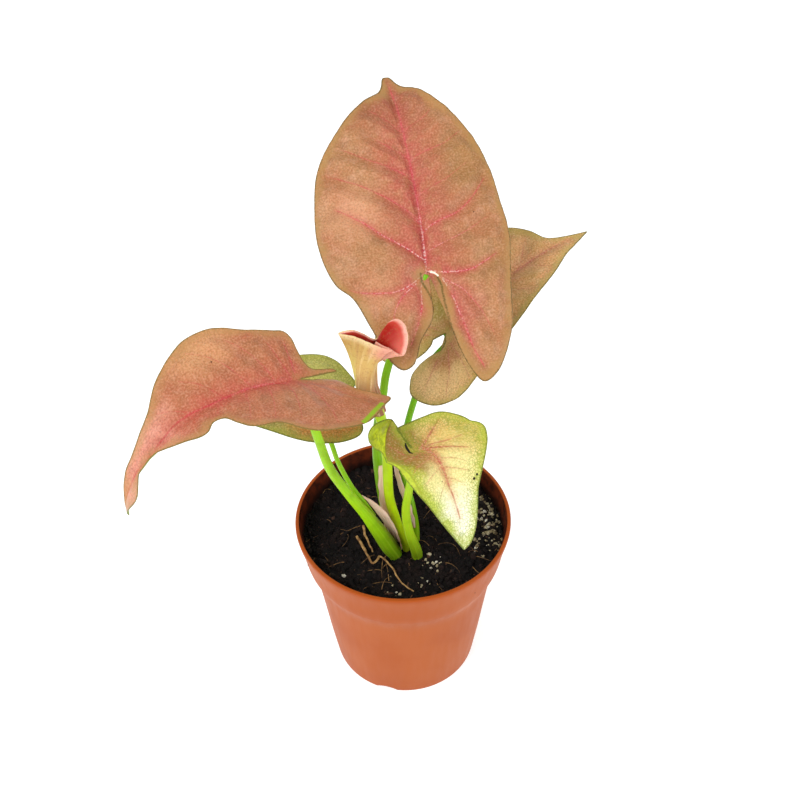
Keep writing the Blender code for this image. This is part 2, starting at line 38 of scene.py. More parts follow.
# Camera, fitted to the ellipses of the pot's rim and foot
CAMERA_AT = (0, -0.271415, 0.364869)
CAMERA_RIGHT = (0.999783, -0.011444, -0.017433)
CAMERA_UP = (0.020628, 0.665473, 0.746137)
CAMERA_BACK = (0.003063, -0.746335, 0.665564)
LENS_MM = 52.14
SENSOR_MM = 36

# Light: the sky's strength, the lamps' watts, and a floor that glows a little so that it stays white
WORLD_LIGHT = 0.78
KEY_LIGHT = 9.5
SIDE_LIGHT = 2.5
FLOOR_GLOW = 0.6

# Pot
POT_HEIGHT = 67.5
RIM_RADIUS = 37.5
FOOT_RADIUS = 26.2
POT_WALL = 1.2
POT_FLOOR = 1.8
POT_STEPS = 192
POT_LINE = [(FOOT_RADIUS, 1.2), (28, 14), (29.6, 27), (31.3, 40), (32.4, 46.5), (34, 50.5), (34.7, 52.2),
            (36.1, 60), (RIM_RADIUS - 0.2, 65.5)]
NOTCH_COUNT = 4
NOTCH_RADIUS = 5.5
NOTCH_HEIGHT = 2.2
NOTCH_TURN = math.radians(-106)
NOTCH_CUT_LENGTH = 10
# Painted shade on the pot's inner wall: how far it reaches into the wall, the height where it and the darker
# rim band begin, and the height where the shade is darkest
INNER_SHADE_FADE = 0.3
DARKENING_FROM = 64.5
INNER_SHADE_DARKEST = 60.5
SHARP_EDGE = math.radians(40)

# Soil
SOIL_TOP = 60.0
SOIL_BUMP = 0.9
SOIL_BUMP_SIZE = 7.0
SOIL_RINGS = 90
SOIL_STEPS = 220
STEM_FOOT = 58.9
CRUMB_SIZES = (3.1, 1.3, 0.8)
LUMP_KINDS = 6
LUMP_ROUGHNESS = 1.9
SMALL_LUMP_POWER = 2.2
FIBRE_COUNT = 60
FIBRE_POINTS = 18
FIBRE_SPREAD = 33
FIBRE_EDGE_GAP = 0.4

# Leaf blades
BLADE_THICKNESS = 0.5
TABLE_STEPS = 160
MARGIN_STEPS = 24
BLADE_COLUMNS = 56
ROW_BOW = 0.07
SLOPE_STEP = 0.05
HEM_BULGE = 0.12
SEAM_OPEN = 1e-4
# Its relief: widths, sizes and reaches in millimetres
CUSHION_WIDTH = 3.4
INNER_FROM = 5
FURROW_SHARE = 0.35
GROOVE_WIDTH = 0.8
PUCKER_FINE = 2.6
PUCKER_BROAD = 6
RIM_WIDTH = 1.3
RIM_DIP_AT = 3.2
RIM_DIP_WIDTH = 1.4
FLARE_SIZE = 9
WAVE_SIZE = 12
WAVE_REACH = 9
KEEL_WIDTH = 0.9
UNDER_VEIN = 0.45

# Each leaf: where the stalk meets the blade, its heading, rise and roll in degrees, how it is folded,
# arched, bowed, curled at the tip and creased, and the half outlines as (outward, along) from the notch
# round the lobe to the tip. Sweep and jog shift the blade sideways, approach is how far back and aside
# the stalk comes in, and slant tilts the line that parts the lobe's rows from the midrib's.
# A notch that is widest near the stalk is given as (outward, along, share of the lobe's rows passed).
# Rows are counted along the midrib and round a lobe. Groove, quilt, pucker, flare and wave are heights
# of the blade's relief. PLAIN_LEAF holds what a leaf has unless its own row says otherwise.
PLAIN_LEAF = dict(curl=0, lobe_drop=0, jog=0, approach=(0, 0), slant=0.6, crease=0)
LEAVES = {
    "top": dict(
        PLAIN_LEAF, at=(9, 16, 160), heading=100, rise=38, roll=0,
        length=67, width=30, lobe=34,
        fold=12, arch=30, bow=10, lobe_drop=10, sweep=-2, approach=(4.2, 2.0),
        right=[(2.7, -2.4), (3.4, -4.5), (3.6, -9), (4.2, -16), (5.4, -23), (8.2, -31), (12, -36),
               (16.5, -33.5), (22.5, -22.5), (25.5, -5), (27.5, 9), (26.5, 25), (24.5, 36), (18.5, 50),
               (9.5, 60.5), (4.5, 62.5), (2.6, 64.2), (1.6, 66), (0.9, 66.8), (0, 67)],
        left=[(2.3, -0.7), (2.1, -3.2), (1.1, -6), (0.1, -9), (-0.1, -11.7), (0.9, -15.5), (5.5, -21.5),
              (8.5, -28), (12, -29.5), (15.5, -26.5), (20, -15.5), (24, -6), (28.5, -1), (32, 11),
              (31.3, 24), (28.5, 35.5), (18, 50.5), (9.5, 58), (3.5, 61.5), (2.2, 63.6), (1.5, 65.8),
              (0.9, 66.7), (0, 67)],
        rows=176, lobe_rows=86, groove=0.35, quilt=2.2, pucker=0.9, flare=0.45, wave=0.6),
    "right": dict(
        PLAIN_LEAF, at=(15, 22, 130.5), heading=30, rise=35, roll=5,
        length=63, width=24, lobe=22,
        fold=8, arch=10, bow=40, lobe_drop=-10, sweep=-2.5,
        notch_right=[(2, -13, 0), (2.2, -10, 0.02), (2.7, -7.4, 0.07), (3.5, -4.9, 0.14),
                     (2.9, -2.6, 0.18), (0, 0, 0.24)],
        notch_left=[(0.5, -12, 0), (0.3, -9.5, 0.02), (0.4, -7.4, 0.04), (0.8, -5.6, 0.06),
                    (1.6, -4.1, 0.085), (0, 0, 0.13)],
        right=[(2, -13), (2.9, -16.8), (5.6, -19.8), (10, -22), (18.5, -19), (22.3, -12), (21.5, -2),
               (17.5, 17), (13, 31), (10, 39.5), (5.5, 48.5), (2.5, 57), (0, 63)],
        left=[(0.5, -12), (2.4, -16), (5, -19.3), (9, -21), (17, -18), (23, -8), (25.5, 6), (24, 22),
              (16.5, 40.5), (11, 45.3), (5, 48), (2, 54), (0, 63)],
        rows=140, lobe_rows=108, groove=0.25, quilt=1.1, pucker=0.45, flare=0.45, wave=0.4),
    "left": dict(
        PLAIN_LEAF, at=(-29.5, -22, 150), heading=212, rise=22, roll=-8,
        length=67, width=28, lobe=24,
        fold=20, arch=12, bow=67, curl=50, sweep=-11, slant=0,
        right=[(0.15, -1.5), (0.6, -5), (1.2, -9), (1.9, -14.6), (2.7, -13.4), (2.9, -9), (3.6, -6),
               (6, -4.5), (10, -3.7), (14.2, -3.2), (16.3, -1.6), (16.9, 2), (18.5, 10), (22, 18),
               (22, 25), (20.5, 29), (15, 37.6), (9.6, 43), (7.1, 47), (5, 50.6), (4, 53.2), (3.3, 55.9),
               (2.3, 58.8), (1.3, 62), (0.7, 65), (0, 67)],
        left=[(0.4, -1.5), (0.6, -5), (0.8, -9), (2.4, -12.7), (5.5, -13.6), (9.2, -14.6), (13, -18),
              (16.2, -21.8), (20.6, -16.4), (23, -13.3), (24.8, -10.7), (26.6, -7.8), (27.8, -5),
              (28.6, -1.5), (28.8, 2.4), (27.8, 8.5), (25.1, 12), (22.3, 13.9), (20, 16.1), (18.2, 20.2),
              (16.1, 22.6), (12.6, 24.6), (8.4, 26.9), (7.5, 29.6), (9.7, 32), (9.6, 34.7), (7.9, 37.4),
              (5.9, 40.5), (2.6, 44.8), (0.8, 48), (1.1, 51), (1.9, 53.4), (4.3, 53.9), (6.8, 54.2),
              (8.9, 54.9), (9.7, 55.9), (9.2, 57.3), (7.3, 59.5), (5.9, 60.8), (3, 63.5), (0, 67)],
        rows=172, lobe_rows=90, groove=0.3, quilt=1.0, pucker=0.5, flare=0.45, wave=0.4),
    "lower": dict(
        PLAIN_LEAF, at=(-25, -2, 122), heading=188, rise=12, roll=-12,
        length=32, width=16, lobe=14,
        fold=12, arch=20, bow=25, lobe_drop=10, sweep=0,
        right=[(0.4, -1), (4, -8), (9, -11.5), (14, -9), (18, -6.5), (20.5, -2), (20, 6), (16, 15),
               (9, 24), (0, 32)],
        left=[(0.3, -1), (3, -8), (7, -12.5), (11, -11.5), (14, -7), (15.3, -1), (14.5, 7), (10, 17),
              (5, 26), (0, 32)],
        rows=80, lobe_rows=60, groove=0.2, quilt=0.4, pucker=0.3, flare=0.3, wave=0.25),
    "front": dict(
        PLAIN_LEAF, at=(4, -28, 126.5), heading=302, rise=-25, roll=3,
        length=33, width=18, lobe=13,
        fold=15, arch=10, bow=30, sweep=5.3, jog=-5.5, crease=75,
        right=[(0.9, -1.4), (1.25, -4), (1.25, -8), (1.1, -10.4), (1.7, -12.4), (5, -14), (9.5, -15),
               (12.5, -14.6), (14.2, -13.4), (14.1, -10.8), (12.6, -6.8), (10.4, -3.4), (11, 2),
               (12.2, 6), (11.6, 11), (9, 18), (6, 24), (2.5, 29.5), (0, 33)],
        left=[(-0.6, -1.3), (-1.2, -5), (-1.4, -8.4), (2.5, -8.4), (7, -7.9), (12, -7), (15.5, -4.6),
              (18.4, -1.3), (19.5, 2), (17.3, 6), (14, 10), (10.6, 14.1), (7.7, 18.2), (6, 23), (4, 29),
              (2, 32), (0, 33)],
        rows=92, lobe_rows=86, groove=0.08, quilt=0.35, pucker=0.3, flare=0.25, wave=0.25),
}
# Main veins as (strength, places) with places as (to the right, along); the first is the midrib
VEINS = {
    "top": [
        (1.0, [(-0.3, 0.2), (0, 4), (0.4, 12), (0.8, 24), (1, 36), (1.1, 49), (1, 56), (0.2, 63)]),
        (0.95, [(0, 3.4), (-3, 6), (-6.5, 8.7), (-11.4, 12), (-14.7, 14.9), (-18.8, 18.4), (-24.3, 22.4)]),
        (0.5, [(0.4, 15), (-2.1, 19), (-6.3, 22.6), (-10.5, 25.7), (-14.6, 28.4), (-18.9, 30.9),
               (-25, 34)]),
        (0.42, [(0.8, 29), (-2, 32.2), (-5.7, 34.4), (-10, 36.5), (-14.2, 38.9), (-19, 42)]),
        (0.36, [(1, 37), (-2.1, 39.9), (-5, 41.8), (-10, 45.5)]),
        (0.3, [(1.1, 46), (-1.6, 49.2), (-4.5, 51.6), (-8, 54.5)]),
        (0.85, [(-0.4, -0.2), (-2.8, -2), (-6.3, -4.1), (-10.4, -5.6), (-15, -5.6), (-20.2, -4.8),
                (-25, -3.2)]),
        (0.65, [(-0.5, -0.6), (-2.5, -2.5), (-4.7, -4.2), (-8.2, -6.6), (-11, -9.8), (-12.7, -13.4),
                (-13.5, -20)]),
        (0.95, [(-0.6, -0.8), (-1.9, -3), (-2.8, -6), (-3.4, -10.6), (-4.9, -15.1), (-8.5, -22)]),
        (0.62, [(0.5, 12), (2.8, 13.6), (6.5, 15.2), (11.5, 16.8), (16.1, 19.8), (19.2, 22.9), (23, 27.5)]),
        (0.36, [(0.2, 5.5), (3.9, 7.1), (6.8, 8.2), (11, 9.6), (14.4, 10.9), (21, 14.5)]),
        (0.95, [(0.1, 0), (3.7, -0.9), (8.3, -1.5), (13, -1.5), (17.2, 0.1), (21.7, 2.5)]),
        (1.0, [(0.3, -0.2), (3.4, -2.2), (5.8, -7.2), (7.5, -13.6), (8.9, -19.2), (10.5, -26.2),
               (12.5, -31)]),
        (0.4, [(3, -1.8), (6.2, -4.4), (10.3, -7.8), (14, -13.7), (17, -21)]),
        (0.4, [(1, 36), (2.9, 37.3), (6.4, 38.5), (13.3, 40.9), (18, 44)]),
        (0.3, [(0.8, 24), (5, 26), (11, 28.6), (18, 33)]),
        (0.28, [(1.1, 46), (4, 48), (9, 51), (12.5, 54.5)]),
    ],
    "right": [
        (0.9, [(0, 0), (-0.3, 15), (-0.4, 32), (-0.4, 50), (-0.2, 61)]),
        (0.45, [(0, 8), (-7, 12), (-14, 18), (-19, 25)]),
        (0.4, [(-0.3, 20), (-6, 25), (-12, 31), (-15, 37)]),
        (0.35, [(-0.4, 33), (-5, 38), (-9, 42.5)]),
        (0.45, [(0, 10), (7, 13), (14, 18)]),
        (0.4, [(-0.3, 22), (6, 26), (11, 32)]),
        (0.35, [(-0.4, 35), (5, 39.5), (8, 43)]),
        (0.6, [(0.3, 0), (-8, -2), (-16, 0), (-22, 4)]),
        (0.6, [(0.2, -0.5), (-6, -6), (-11, -12), (-14, -17)]),
        (0.65, [(0.6, -0.4), (3.2, -2.5), (4.9, -5.6), (7.3, -10.6), (11, -17)]),
        (0.6, [(0.8, -0.3), (3.8, -1.8), (8.2, -4.8), (12.7, -7.9), (18, -13.5)]),
        (0.5, [(0.8, -0.1), (4.4, -1), (9.8, -1.9), (14.7, -2.9), (20, -4.6)]),
    ],
    "left": [
        (0.8, [(-0.3, 0.2), (-0.8, 5), (0.1, 9.8), (0.4, 14.4), (0.5, 19), (0.6, 24.5), (0.8, 28.1),
               (1.6, 34.2), (1.7, 38), (0.9, 42.7), (0.2, 47.4), (0, 60)]),
        (0.7, [(0, 0.3), (3.6, -0.1), (8.1, -0.3), (12, -0.4)]),
        (0.45, [(-0.2, 1.8), (6.4, 3.2), (12.7, 4.9)]),
        (0.3, [(-0.4, 7), (6.4, 9), (12.4, 12.3), (17, 16)]),
        (0.28, [(0.4, 14.5), (7.3, 17.9), (13.1, 21.6), (18, 27)]),
        (0.25, [(0.6, 23), (7.9, 28), (11.4, 32)]),
        (0.2, [(1.6, 33), (5, 37), (7.5, 41)]),
        (0.4, [(-0.4, 0.4), (-8.3, -0.6), (-17.2, 0.1), (-25, 1.7)]),
        (0.35, [(-0.6, -1), (-6, -6), (-12, -10), (-16, -15)]),
        (0.32, [(-0.7, 4.3), (-10.3, 6.2), (-20.4, 9.7)]),
        (0.28, [(0.1, 10), (-8.9, 12.4), (-17, 15.6)]),
        (0.25, [(0.5, 17), (-7.7, 19), (-14.1, 21.4)]),
        (0.2, [(0.6, 25), (-5, 27.5)]),
    ],
    "lower": [
        (0.5, [(0, 0), (0, 12), (0, 30)]),
        (0.35, [(0, 2), (8, 4), (16, 9)]),
        (0.3, [(0, 9), (6, 13), (12, 19)]),
        (0.35, [(0, 2), (-7, 4), (-13, 8)]),
        (0.3, [(0, 9), (-5, 13), (-8, 18)]),
        (0.4, [(0, 0), (6, -3), (12, -5)]),
        (0.4, [(0, 0), (-5, -4), (-9, -8)]),
    ],
    "front": [
        (0.95, [(-1.2, 0.3), (-1.3, 2.4), (-1, 4.8), (-0.5, 8), (0.2, 11.7), (0.5, 14.7), (0.3, 17.5),
                (0, 24)]),
        (0.9, [(-1.2, 0.4), (-2.2, 0), (-3.9, -0.8), (-6, -2), (-8.1, -3.2), (-11, -5)]),
        (0.6, [(-1.3, 0.5), (-2.6, 0.5), (-5.6, 1), (-7.9, 1.8), (-12, 2.4)]),
        (0.75, [(-1.3, 0.9), (-2.2, 1.2), (-3.9, 2.2), (-6.5, 3.8), (-10, 6.3)]),
        (0.4, [(-1, 4.8), (-2.6, 5.9), (-4.8, 7.2), (-7.3, 9.4)]),
        (0.35, [(-0.6, 8), (-2.4, 9.3), (-4.3, 10.6), (-7.2, 12.6)]),
        (0.25, [(0.2, 11.5), (-2, 13), (-4, 15.5)]),
        (0.6, [(-1, 0.5), (1.3, 0.9), (3.1, 0.5), (5, -0.8), (7, -4)]),
        (0.6, [(-1.1, 1.2), (3.2, 2.1), (5.2, 1.8), (8, 2.1)]),
        (0.35, [(-1.1, 3.6), (3.1, 4.6), (7, 5.3), (10, 7)]),
        (0.3, [(-0.5, 7.8), (3.8, 9.1), (8, 11)]),
        (0.25, [(0.3, 12), (3, 14), (6, 17)]),
    ],
}
VEIN_STEPS = 6
VEIN_GLOW = 1.9
# A vein's least half width and what its strength adds, and the share of its strength lost at its end
VEIN_HALF_WIDTH = (0.12, 0.25)
VEIN_FADES = 0.55
# Leaf patterns in millimetres: clouds, mottles, flecks, and how far the washes' outlines wander
PATCH_SIZE = 12
FLECK_SIZE = 6
SPECKLE_SIZE = 2.6
WANDER_SIZE = 5
WASH_WANDER = 8
BLUSH_CLOUD = 3.5
CREST_HIGHLIGHT_FLECK = 0.8
CELL_SIZE = 0.6
FLAP_RIB_SIZE = 1.6
DRIFT_SIZE = 7
# Streaks round a stalk or the young leaf, and across half a sheath
FIBRE_STREAKS = 26.0
SHEATH_STREAKS = 9.0
# Places and radii along the dark slit beside the front leaf's stalk: a gap between the lobes, painted
# near-black as the shade seen through it
SLIT = [((1.7, -3), 0.28), ((1.95, -2.5), 0.4), ((2.1, -2), 0.46), ((2.15, -1.5), 0.5),
        ((2.15, -1), 0.5), ((2.1, -0.5), 0.46), ((2.1, 0), 0.42), ((2.3, 0.4), 0.36)]
# Colours of each blade's upper face, drawn from ground to hem. A wash is a colour, a place on the blade,
# the radii where it is full and where it ends, and its depth. The net's size is the width of its cells. The
# crest is a painted highlight of pale flecks on the main veins near the stalk. A spot is a colour, a place
# and a radius: small dark dots, the top leaf's pale notch edge, the green strip under the left leaf's lobe
# and the front leaf's slit, a gap painted near-black as the shade seen through it.
LEAF_FINISHES = {
    "top": dict(ground="#A86E48", patch="#AC7C52", fleck="#784C2C", blush="#B44C4A", blush_reach=16.0,
                blush_depth=0.75, blush_end=85, glow_depth=0.75, speckle="#D8A282", speckle_depth=0.4,
                fleck_depth=0.4, net="#7A5030", net_size=1.2, net_depth=0.3, vein="#BE3446", vein_depth=1.0,
                crest="#F4D2C8", crest_highlight_depth=0.95, margin="#A67E4A", margin_depth=0.8, hem="#5E5022",
                washes=[("#9C6A38", (-18, -20), 2, 14, 0.7), ("#97703C", (20, 34), 4, 16, 0.6),
                        # The pale wash at (-20, 20) is painted light: the left half drawn lighter where it
                        # faces the light
                        ("#DCA27C", (-20, 20), 1, 14, 0.5), ("#D8A07A", (-16, -6), 2, 10, 0.4),
                        ("#845430", (-3, 60), 6, 17, 0.7), ("#9A7440", (24, 2), 2, 12, 0.5),
                        ("#B45A50", (8, -12), 3, 11, 0.6), ("#BC6054", (-5, -8), 3, 8, 0.5)],
                spots=[("#3A2010", (17, 16), 0.2), *[("#F2E6D2", (0.9 + 0.25 * k, -0.6 - 0.02 * k * k), 0.28)
                                                     for k in range(9)]]),
    "right": dict(ground="#D79A68", patch="#D0A05E", fleck="#9A7440", blush="#CE8066", blush_reach=8.0,
                  blush_depth=0.6, blush_end=70, glow_depth=0.6, speckle="#EECFA0", speckle_depth=0.5,
                  fleck_depth=0.6, net="#8E7438", net_size=0.85, net_depth=0.5, vein="#BE4E56",
                  vein_depth=0.75, crest="#E4B4A0", crest_highlight_depth=0.5, margin="#B8A458", margin_depth=0.6,
                  hem="#5E5A22",
                  washes=[("#EAC088", (10, -12), 8, 16, 0.9), ("#B2683E", (6, -5), 3, 9, 0.8),
                          ("#98903A", (-4, 5), 3, 9, 0.7)],
                  spots=[]),
    "left": dict(ground="#AE6848", patch="#B0734E", fleck="#86502C", blush="#B84A42", blush_reach=9.0,
                 blush_depth=0.7, blush_end=75, glow_depth=0.5, speckle="#D8A082", speckle_depth=0.45,
                 fleck_depth=0.5, net="#8A5640", net_size=1.1, net_depth=0.35, vein="#BE2E40", vein_depth=1.0,
                 crest="#DDA298", crest_highlight_depth=0.5, margin="#B08450", margin_depth=0.6, hem="#6E6228",
                 washes=[("#CE9868", (20, 24), 4, 15, 0.8), ("#DE9E88", (0, 50), 7, 16, 0.9)],
                 spots=[("#4A2A14", (12, 22), 0.25),
                        *[("#8CB222", (-19.2 - 0.66 * k, -16.6 + 0.95 * k), 0.75) for k in range(13)]]),
    "lower": dict(ground="#C0A458", patch="#B69E56", fleck="#6E6A2C", blush="#AC7E54", blush_reach=7.0,
                  blush_depth=0.4, blush_end=30, glow_depth=0.4, speckle="#D6C884", speckle_depth=0.6,
                  fleck_depth=0.6, net="#6A6A26", net_size=1.1, net_depth=0.6, vein="#A8704E", vein_depth=0.4,
                  crest="#C4AE74", crest_highlight_depth=0.4, margin="#ACAE48", margin_depth=0.6, hem="#5C6A1C",
                  washes=[("#D08244", (-13, -2), 9, 16, 1.0), ("#C8C468", (14, -4), 6, 14, 0.9)], spots=[]),
    "front": dict(ground="#DAB468", patch="#D8BC6C", fleck="#8E8A36", blush="#C06A50", blush_reach=3.5,
                  blush_depth=0.5, blush_end=16, glow_depth=0.6, speckle="#EEDFA0", speckle_depth=0.35,
                  fleck_depth=0.35, net="#66761C", net_size=0.8, net_depth=0.75, vein="#B03A38",
                  vein_depth=1.0, crest="#E8C0A0", crest_highlight_depth=0.4, margin="#A4B034", margin_depth=0.65,
                  hem="#5E6C16",
                  flap="#D0DE24", flap_rib="#A4B41C",
                  # The cream wash at (0, 20) and the near-white one at (2, 35) are partly the leaf's own pale
                  # colour and partly a painted highlight
                  washes=[("#E9DE98", (0, 20), 11, 21, 0.95), ("#FAF8DA", (2, 35), 13, 24, 1.0),
                          ("#96662A", (7, -3), 7, 13, 0.95), ("#A8A238", (-19, 1), 4, 11, 0.5),
                          ("#B4C828", (12.5, 8), 3, 7, 0.85), ("#B8CC2A", (9.5, 17), 2.5, 6, 0.85),
                          ("#C0D23C", (6, 25), 2, 4.5, 0.7)],
                  # The slit is painted shade: near-black where a gap between the lobes shows
                  spots=[*[("#120C06", place, radius) for place, radius in SLIT],
                         ("#1E1508", (-7.4, 15.3), 0.4),
                         ("#1E1508", (-8.7, 14.6), 0.36), ("#4A3A14", (2.2, 12), 0.16)]),
}
UNDERSIDE = dict(ground="#94985A", patch="#8A9A50", fleck="#707A38", blush="#A09058", blush_reach=6.0,
                 blush_depth=0.4, blush_end=60, glow_depth=0.5, speckle="#AEB478", speckle_depth=0.5,
                 fleck_depth=0.5, net="#76823E", net_size=1.5, net_depth=0.4, vein="#B4B078", vein_depth=0.7,
                 crest="#C0CA84", crest_highlight_depth=0.3, margin="#929E48", margin_depth=0.5, hem="#6C7A2A",
                 washes=[], spots=[])
# Where a tip starts to curl as a share of the length, the crease of the folded lobe, and how soon a jog ends
CURL_FROM = 0.72
CREASE_AT = 10.2
CREASE_WIDTH = 2.0
CREASE_BEND = 0.05
CREASE_FROM = 1.6
CREASE_END = 30.0
JOG_RATE = 8.0

# Leaf stalks as routes of (x, y, z, radius), from the stem or from the left stalk
STALKS = {
    "top": [(-3.4, -4.6, 60.5, 1.7), (-4.6, -4.6, 68, 1.7), (-6, -4.4, 76, 1.7), (-7.5, -3, 91, 1.7),
            (-8, -1, 100.5, 1.65), (-7.5, 0.5, 110.5, 1.5), (-5.5, 2.5, 122, 1.35),
            (-4.5, 4, 128.5, 1.3), (-2.5, 6, 135, 1.25), (0, 9, 140.5, 1.2), (4.5, 13, 149, 1.1)],
    "right": [(4.2, -4.6, 60.5, 1.5), (4.1, -3.6, 66, 1.45), (3, -2, 75, 1.3), (0.6, 2, 85.5, 1.2),
              (0.2, 5, 92, 1.15), (2, 9, 102, 1.1), (4.5, 12.5, 110, 1.1), (8, 16.5, 119.5, 1.1)],
    "left": [(-3.1, -11.2, 60.5, 2.5), (-5.2, -11.7, 65.5, 2.9), (-8.4, -12.2, 73.5, 2.55),
             (-12.6, -13.6, 84, 1.95), (-17, -15.5, 94.5, 1.65), (-22.5, -18.5, 110, 1.5),
             (-25, -20.5, 124.5, 1.45), (-27.5, -21.5, 137.5, 1.4)],
    "lower": [(-9.75, -9.85, 78.6, 0.7), (-11.8, -10.55, 83.9, 0.75), (-13.5, -10.7, 87.5, 0.8),
              (-16.5, -10.3, 93, 0.8), (-20.5, -8, 102, 0.8), (-22.5, -6, 109, 0.8)],
    "front": [(4.6, -11.8, 60.5, 1.9), (4, -13, 65, 1.9), (2, -15, 75.5, 1.6), (1, -18, 89, 1.4),
              (2, -22, 103, 1.25), (3, -25.2, 114, 1.2)],
    "rolled": [(0.8, -8.3, 60.5, 1.4), (-0.6, -8.4, 67, 1.5), (-2.8, -8.8, 77, 1.6),
               (-4.4, -9.4, 87, 1.6), (-4.8, -9.6, 107, 1.65), (-5.5, -10, 118, 1.7)],
}
STALK_TURN = 4.0
STALK_SIDES = 28
ROLLED_LEAF_FOOT = (-6.9, -10, 127)

# The rolled leaf, wound into a funnel with a slit on the left and a scoop on the right
ROLL_MOUTH = [(-2, -13.5, 153), (-5.5, -13.2, 154), (-9.5, -13, 156), (-13, -12.7, 157.7),
              (-17.5, -12, 158.5), (-13.6, -10.6, 158.5), (-10.5, -8.6, 155.5), (-7, -6.6, 151.8),
              (-4.2, -5.4, 153.5), (-2.5, -5, 157), (-0.5, -5.2, 158), (1.6, -7, 157.5),
              (2.6, -10, 154.5), (2, -13, 150.5)]
ROLL_FOOT = (-7, -10, 126)
ROLL_FOOT_RADIUS = 2.3
ROLL_WAIST = (-10.2, -10, 137)
ROLL_WAIST_RADIUS = 3.2
ROLL_INNER_GAP = 1.5
ROLL_OPENING = 1.8
ROLL_SCOOP = 3.2
ROLL_WAIST_SHARE = 0.4
ROLL_STEPS = 180
ROLL_ROWS = 56
ROLL_TUCK_FROM = 150
ROLL_TUCK_RUN = 24
ROLL_LAP = 18
ROLL_THICKNESS = 0.45

# Papery sheaths: stalk, first and last part of its route, middle and half angle, flare, and how far its
# free edge stands out as a wing
SHEATHS = {
    "left": ("left", 0.04, 0.36, 160, 38, 0.5, 3.6),
    "top": ("top", 0.06, 0.36, 250, 50, 1.2, 0),
    "right": ("right", 0.10, 0.40, 322, 62, 1.0, 0),
}
SHEATH_ROWS = 70
SHEATH_COLUMNS = 18
SHEATH_THICKNESS = 0.16
SHEATH_GAP = 0.95

# Dry roots lying on the soil, as (x, y)
ROOTS = {
    "long": [(-16.2, -3.8), (-13.7, -8.9), (-12.3, -12.5), (-10.6, -16.1), (-9.2, -14.8), (-8.2, -13.1),
             (-6.1, -14.9), (-3.8, -18.5), (-2.1, -22.4), (0.2, -25.5), (3.2, -28.5)],
    "short": [(-14, 0.8), (-13.2, -3), (-12, -6.6), (-10.6, -10.8)],
}
ROOT_RADIUS = 0.4
ROOT_CLEARANCE = 0.9

# Where perlite shows: x, y, spread, and how thick it lies
PERLITE_SPOTS = [(31, 12, 4, 1.6), (31, 3, 4.5, 2.6), (29, -7, 4, 1.8), (24, 9, 3, 0.6),
                 (10, -15, 3.2, 1.6), (14, -17, 2.4, 0.8), (-3, -24.5, 3.4, 1.2), (6.6, -24, 1.8, 1.4),
                 (-22, -14, 8, 0.04)]


def linear(hex_colour):
    """An sRGB hex colour as linear RGBA."""
    levels = [int(hex_colour[i:i + 2], 16) / 255 for i in (1, 3, 5)]
    return tuple(c / 12.92 if c <= 0.04045 else ((c + 0.055) / 1.055) ** 2.4 for c in levels) + (1,)


def add(tree, kind, inputs=None, out=0, **settings):
    """Adds a node and gives its named output. An input takes a value, a hex colour or a socket."""
    node = tree.nodes.new(kind)
    for key, value in settings.items():
        setattr(node, key, value)
    for key, value in (inputs or {}).items():
        if isinstance(value, bpy.types.NodeSocket):
            tree.links.new(value, node.inputs[key])
        elif isinstance(value, str) and value.startswith("#"):
            node.inputs[key].default_value = linear(value)
        else:
            node.inputs[key].default_value = value
    return node.outputs[out] if node.outputs else node


def new_material(name, surface):
    """A material with its tree and shader, the plain values set on the shader's own sockets."""
    material = bpy.data.materials.new(name)
    material.use_nodes = True
    tree = material.node_tree
    shader = tree.nodes["Principled BSDF"]
    for key, value in surface.items():
        shader.inputs[key].default_value = value
    return material, tree, shader


def paint(tree, ground, colour, value, low, high, depth=1.0, within=None):
    """Lays a colour over the ground: none where the value is low, to its full depth where it is high."""
    cover = add(tree, "ShaderNodeMapRange", {"Value": value, 1: low, 2: high, 3: 0.0, 4: depth},
                interpolation_type="SMOOTHSTEP")
    if within is not None:
        cover = add(tree, "ShaderNodeMath", {0: cover, 1: within}, operation="MULTIPLY")
    return add(tree, "ShaderNodeMix", {0: cover, 6: ground, 7: colour}, out=2, data_type="RGBA")


def mottle(tree, ground, colour, place, size, low, high, depth=1.0, detail=2.0):
    """Lays a colour over the ground in random patches about size millimetres across."""
    patches = add(tree, "ShaderNodeTexNoise", {"Vector": place, "Scale": 1 / (size * MM), "Detail": detail})
    return paint(tree, ground, colour, patches, low, high, depth)


def paint_round(tree, ground, colour, flat, place, inner, outer, depth=1.0, wander=None):
    """Lays a colour round a place, full within the inner radius; wander frays its outline."""
    away = add(tree, "ShaderNodeVectorMath", {0: flat, 1: (place[0] * MM, place[1] * MM, 0)}, out=1,
               operation="DISTANCE")
    if wander is not None:
        away = add(tree, "ShaderNodeMath", {0: wander, 1: WASH_WANDER * MM, 2: away},
                   operation="MULTIPLY_ADD")
    return paint(tree, ground, colour, away, outer * MM, inner * MM, depth)


def paint_all(tree, ground, layers):
    """Lays the colours one over another, each given as paint takes it."""
    for layer in layers:
        ground = paint(tree, ground, *layer)
    return ground


def lengthwise_fibres(tree, around, count, along, rows, detail):
    """Noise drawn out along a piece: count streaks round it and rows along it."""
    turned = add(tree, "ShaderNodeMath", {0: around, 1: count}, operation="MULTIPLY")
    raised = add(tree, "ShaderNodeMath", {0: along, 1: rows}, operation="MULTIPLY")
    drawn = add(tree, "ShaderNodeCombineXYZ", {0: turned, 1: raised})
    return add(tree, "ShaderNodeTexNoise", {"Vector": drawn, "Scale": 1.0, "Detail": detail})


def finish_surface(tree, shader, colour, height, depth):
    """Feeds the colour and a relief whose full depth is in millimetres."""
    tree.links.new(colour, shader.inputs["Base Color"])
    relief = add(tree, "ShaderNodeBump", {"Strength": 1.0, "Distance": depth * MM, "Height": height})
    tree.links.new(relief, shader.inputs["Normal"])


# Materials of the plant


